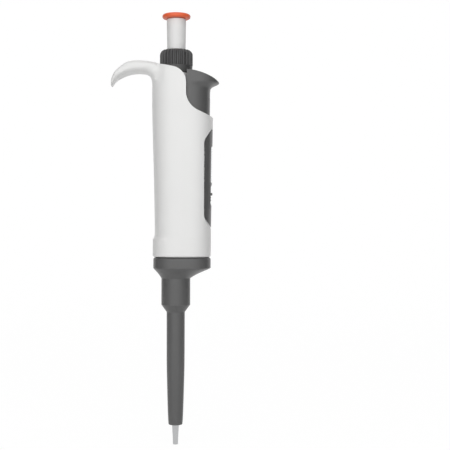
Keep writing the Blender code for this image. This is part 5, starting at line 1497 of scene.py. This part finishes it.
class PIPETTE_OT_studio(bpy.types.Operator):
    """Set the floor, backdrop, lamps and camera"""

    bl_idname = "pipette.studio"
    bl_label = "Studio"

    def execute(self, context):
        sizes = context.scene.pipette_sizes
        add_backdrop()
        eye = (CAMERA_X, -sizes.camera_distance, CAMERA_HEIGHT - SEAT)
        add_soft_box(Vector((0.0, 0.0, eye[2])), sizes.key_power)
        for hand in (-1, 1):
            add_card(hand)
        add_camera(eye)
        add_world(sizes.room_strength)
        context.scene.view_settings.view_transform = "Standard"
        return {"FINISHED"}


def add_soft_box(target, power):
    """A wide square lamp in front, turned to a target."""
    data = bpy.data.lights.new("soft_box", "AREA")
    data.shape = "SQUARE"
    data.size = SOFT_BOX_SIZE
    data.energy = power
    lamp = bpy.data.objects.new("soft_box", data)
    lamp.location = SOFT_BOX
    lamp.rotation_euler = (target - Vector(SOFT_BOX)).to_track_quat("-Z", "Y").to_euler()
    bpy.context.scene.collection.objects.link(lamp)


def add_camera(eye):
    """A level camera whose frame is as wide as the photo's at the plunger's axis."""
    data = bpy.data.cameras.new("camera")
    data.sensor_width = SENSOR
    data.lens = SENSOR * -eye[1] / FRAME_WIDTH
    data.clip_start, data.clip_end = CLIP
    camera = bpy.data.objects.new("camera", data)
    camera.location = eye
    camera.rotation_euler = (pi / 2, CAMERA_ROLL, 0.0)
    bpy.context.scene.collection.objects.link(camera)
    bpy.context.scene.camera = camera


def add_card(hand):
    """A dark card beside the object, out of the lens's sight, that shades its sides and draws its edges."""
    low = -SEAT - FLOOR_GAP
    near, far = CARD_Y
    high = low + CARD_HEIGHT
    corners = [(near, low), (far, low), (far, high), (near, high)]
    mesh = bpy.data.meshes.new("card")
    mesh.from_pydata([(hand * CARD_X, y, z) for y, z in corners], [], [(0, 1, 2, 3)])
    material, tree = new_finish("black_card")
    fibres = add(tree, "ShaderNodeTexNoise", {"Scale": CARD_FIBRES}, {"Vector": object_points(tree)})
    tone = add(tree, "ShaderNodeMapRange", {"To Min": 0.03, "To Max": 0.05}, {"Value": fibres.outputs["Fac"]})
    paper = add(tree, "ShaderNodeBsdfDiffuse", None, {"Color": tone.outputs["Result"]})
    add(tree, "ShaderNodeOutputMaterial", None, {"Surface": paper.outputs[0]})
    mesh.materials.append(material)
    card = bpy.data.objects.new("card_left" if hand < 0 else "card_right", mesh)
    card.visible_camera = False
    bpy.context.scene.collection.objects.link(card)


def seen_white(tree):
    """One for rays that show the background: from the lens, off gloss and through glass."""
    path = add(tree, "ShaderNodeLightPath")
    seen = add(
        tree,
        "ShaderNodeMath",
        {"operation": "MAXIMUM"},
        {0: path.outputs["Is Camera Ray"], 1: path.outputs["Is Glossy Ray"]},
    )
    clear = add(
        tree,
        "ShaderNodeMath",
        {"operation": "MAXIMUM"},
        {0: seen.outputs[0], 1: path.outputs["Is Transmission Ray"]},
    )
    return clear.outputs[0]


def add_world(strength):
    """An even room, plain white to the lens, to gloss and through glass."""
    world = bpy.data.worlds.new("room")
    bpy.context.scene.world = world
    world.use_nodes = True
    tree = world.node_tree
    tree.nodes.clear()
    room = add(tree, "ShaderNodeBackground", {"Color": WHITE, "Strength": strength})
    white = add(tree, "ShaderNodeBackground", {"Color": WHITE, "Strength": 1.0})
    mixed = add(
        tree, "ShaderNodeMixShader", None, {0: seen_white(tree), 1: room.outputs[0], 2: white.outputs[0]}
    )
    add(tree, "ShaderNodeOutputWorld", None, {"Surface": mixed.outputs[0]})


def add_backdrop():
    """A pale floor that curves up behind the object, plain white to the lens but for the shadow."""
    floor = -SEAT - FLOOR_GAP
    line = [(-FLOOR_HALF, floor)]
    for step in range(BACKDROP_FACETS + 1):
        angle = pi / 2 * step / BACKDROP_FACETS
        y = BACKDROP_Y - BACKDROP_CURVE * (1 - sin(angle))
        line.append((y, floor + BACKDROP_CURVE * (1 - cos(angle))))
    line.append((BACKDROP_Y, floor + BACKDROP_HEIGHT))
    points = [(x, y, z) for y, z in line for x in (-FLOOR_HALF, FLOOR_HALF)]
    faces = [(2 * row, 2 * row + 1, 2 * row + 3, 2 * row + 2) for row in range(len(line) - 1)]
    mesh = bpy.data.meshes.new("backdrop")
    mesh.from_pydata(points, [], faces)
    mesh.shade_smooth()
    material, tree = new_finish("matt_paper")
    share = add(tree, "ShaderNodeMath", {"operation": "MULTIPLY", 1: BACKDROP_SHARE}, {0: seen_white(tree)})
    pattern = {"Scale": PAPER_FIBRES, "Detail": 2.0}
    fibres = add(tree, "ShaderNodeTexNoise", pattern, {"Vector": object_points(tree)})
    tone = add(tree, "ShaderNodeMapRange", {"To Min": 0.86, "To Max": 0.9}, {"Value": fibres.outputs["Fac"]})
    paper = add(tree, "ShaderNodeBsdfDiffuse", None, {"Color": tone.outputs["Result"]})
    glow = add(tree, "ShaderNodeEmission", {"Color": WHITE, "Strength": BACKDROP_GLOW})
    mixed = add(
        tree, "ShaderNodeMixShader", None, {0: share.outputs[0], 1: paper.outputs[0], 2: glow.outputs[0]}
    )
    add(tree, "ShaderNodeOutputMaterial", None, {"Surface": mixed.outputs[0]})
    mesh.materials.append(material)
    backdrop = bpy.data.objects.new("backdrop", mesh)
    bpy.context.scene.collection.objects.link(backdrop)


class PIPETTE_PT_panel(bpy.types.Panel):
    """Sizes, colours and building steps of the pipette"""

    bl_idname = "PIPETTE_PT_panel"
    bl_label = "Pipette"
    bl_space_type = "VIEW_3D"
    bl_region_type = "UI"
    bl_category = "Pipette"

    def draw(self, context):
        for group in (context.scene.pipette_sizes, context.scene.pipette_colours):
            box = self.layout.box()
            for name in group.__annotations__:
                box.prop(group, name)
        for operator in OPERATORS:
            self.layout.operator(operator.bl_idname)


OPERATORS = (
    PIPETTE_OT_mechanism,
    PIPETTE_OT_handle_shell,
    PIPETTE_OT_display,
    PIPETTE_OT_lock_slider,
    PIPETTE_OT_push_button,
    PIPETTE_OT_volume_knob,
    PIPETTE_OT_ejector,
    PIPETTE_OT_nozzle,
    PIPETTE_OT_number_drums,
    PIPETTE_OT_springs,
    PIPETTE_OT_studio,
)
CLASSES = (PipetteSizes, PipetteColours, *OPERATORS, PIPETTE_PT_panel)


def register():
    for found in CLASSES:
        bpy.utils.register_class(found)
    bpy.types.Scene.pipette_sizes = PointerProperty(type=PipetteSizes)
    bpy.types.Scene.pipette_colours = PointerProperty(type=PipetteColours)


def unregister():
    del bpy.types.Scene.pipette_sizes
    del bpy.types.Scene.pipette_colours
    for found in reversed(CLASSES):
        bpy.utils.unregister_class(found)


def main():
    register()
    bpy.ops.pipette.mechanism()
    bpy.ops.pipette.handle_shell()
    bpy.ops.pipette.display()
    bpy.ops.pipette.lock_slider()
    bpy.ops.pipette.push_button()
    bpy.ops.pipette.volume_knob()
    bpy.ops.pipette.ejector()
    bpy.ops.pipette.nozzle()
    bpy.ops.pipette.number_drums()
    bpy.ops.pipette.springs()
    bpy.ops.pipette.studio()


if __name__ == "__main__":
    main()
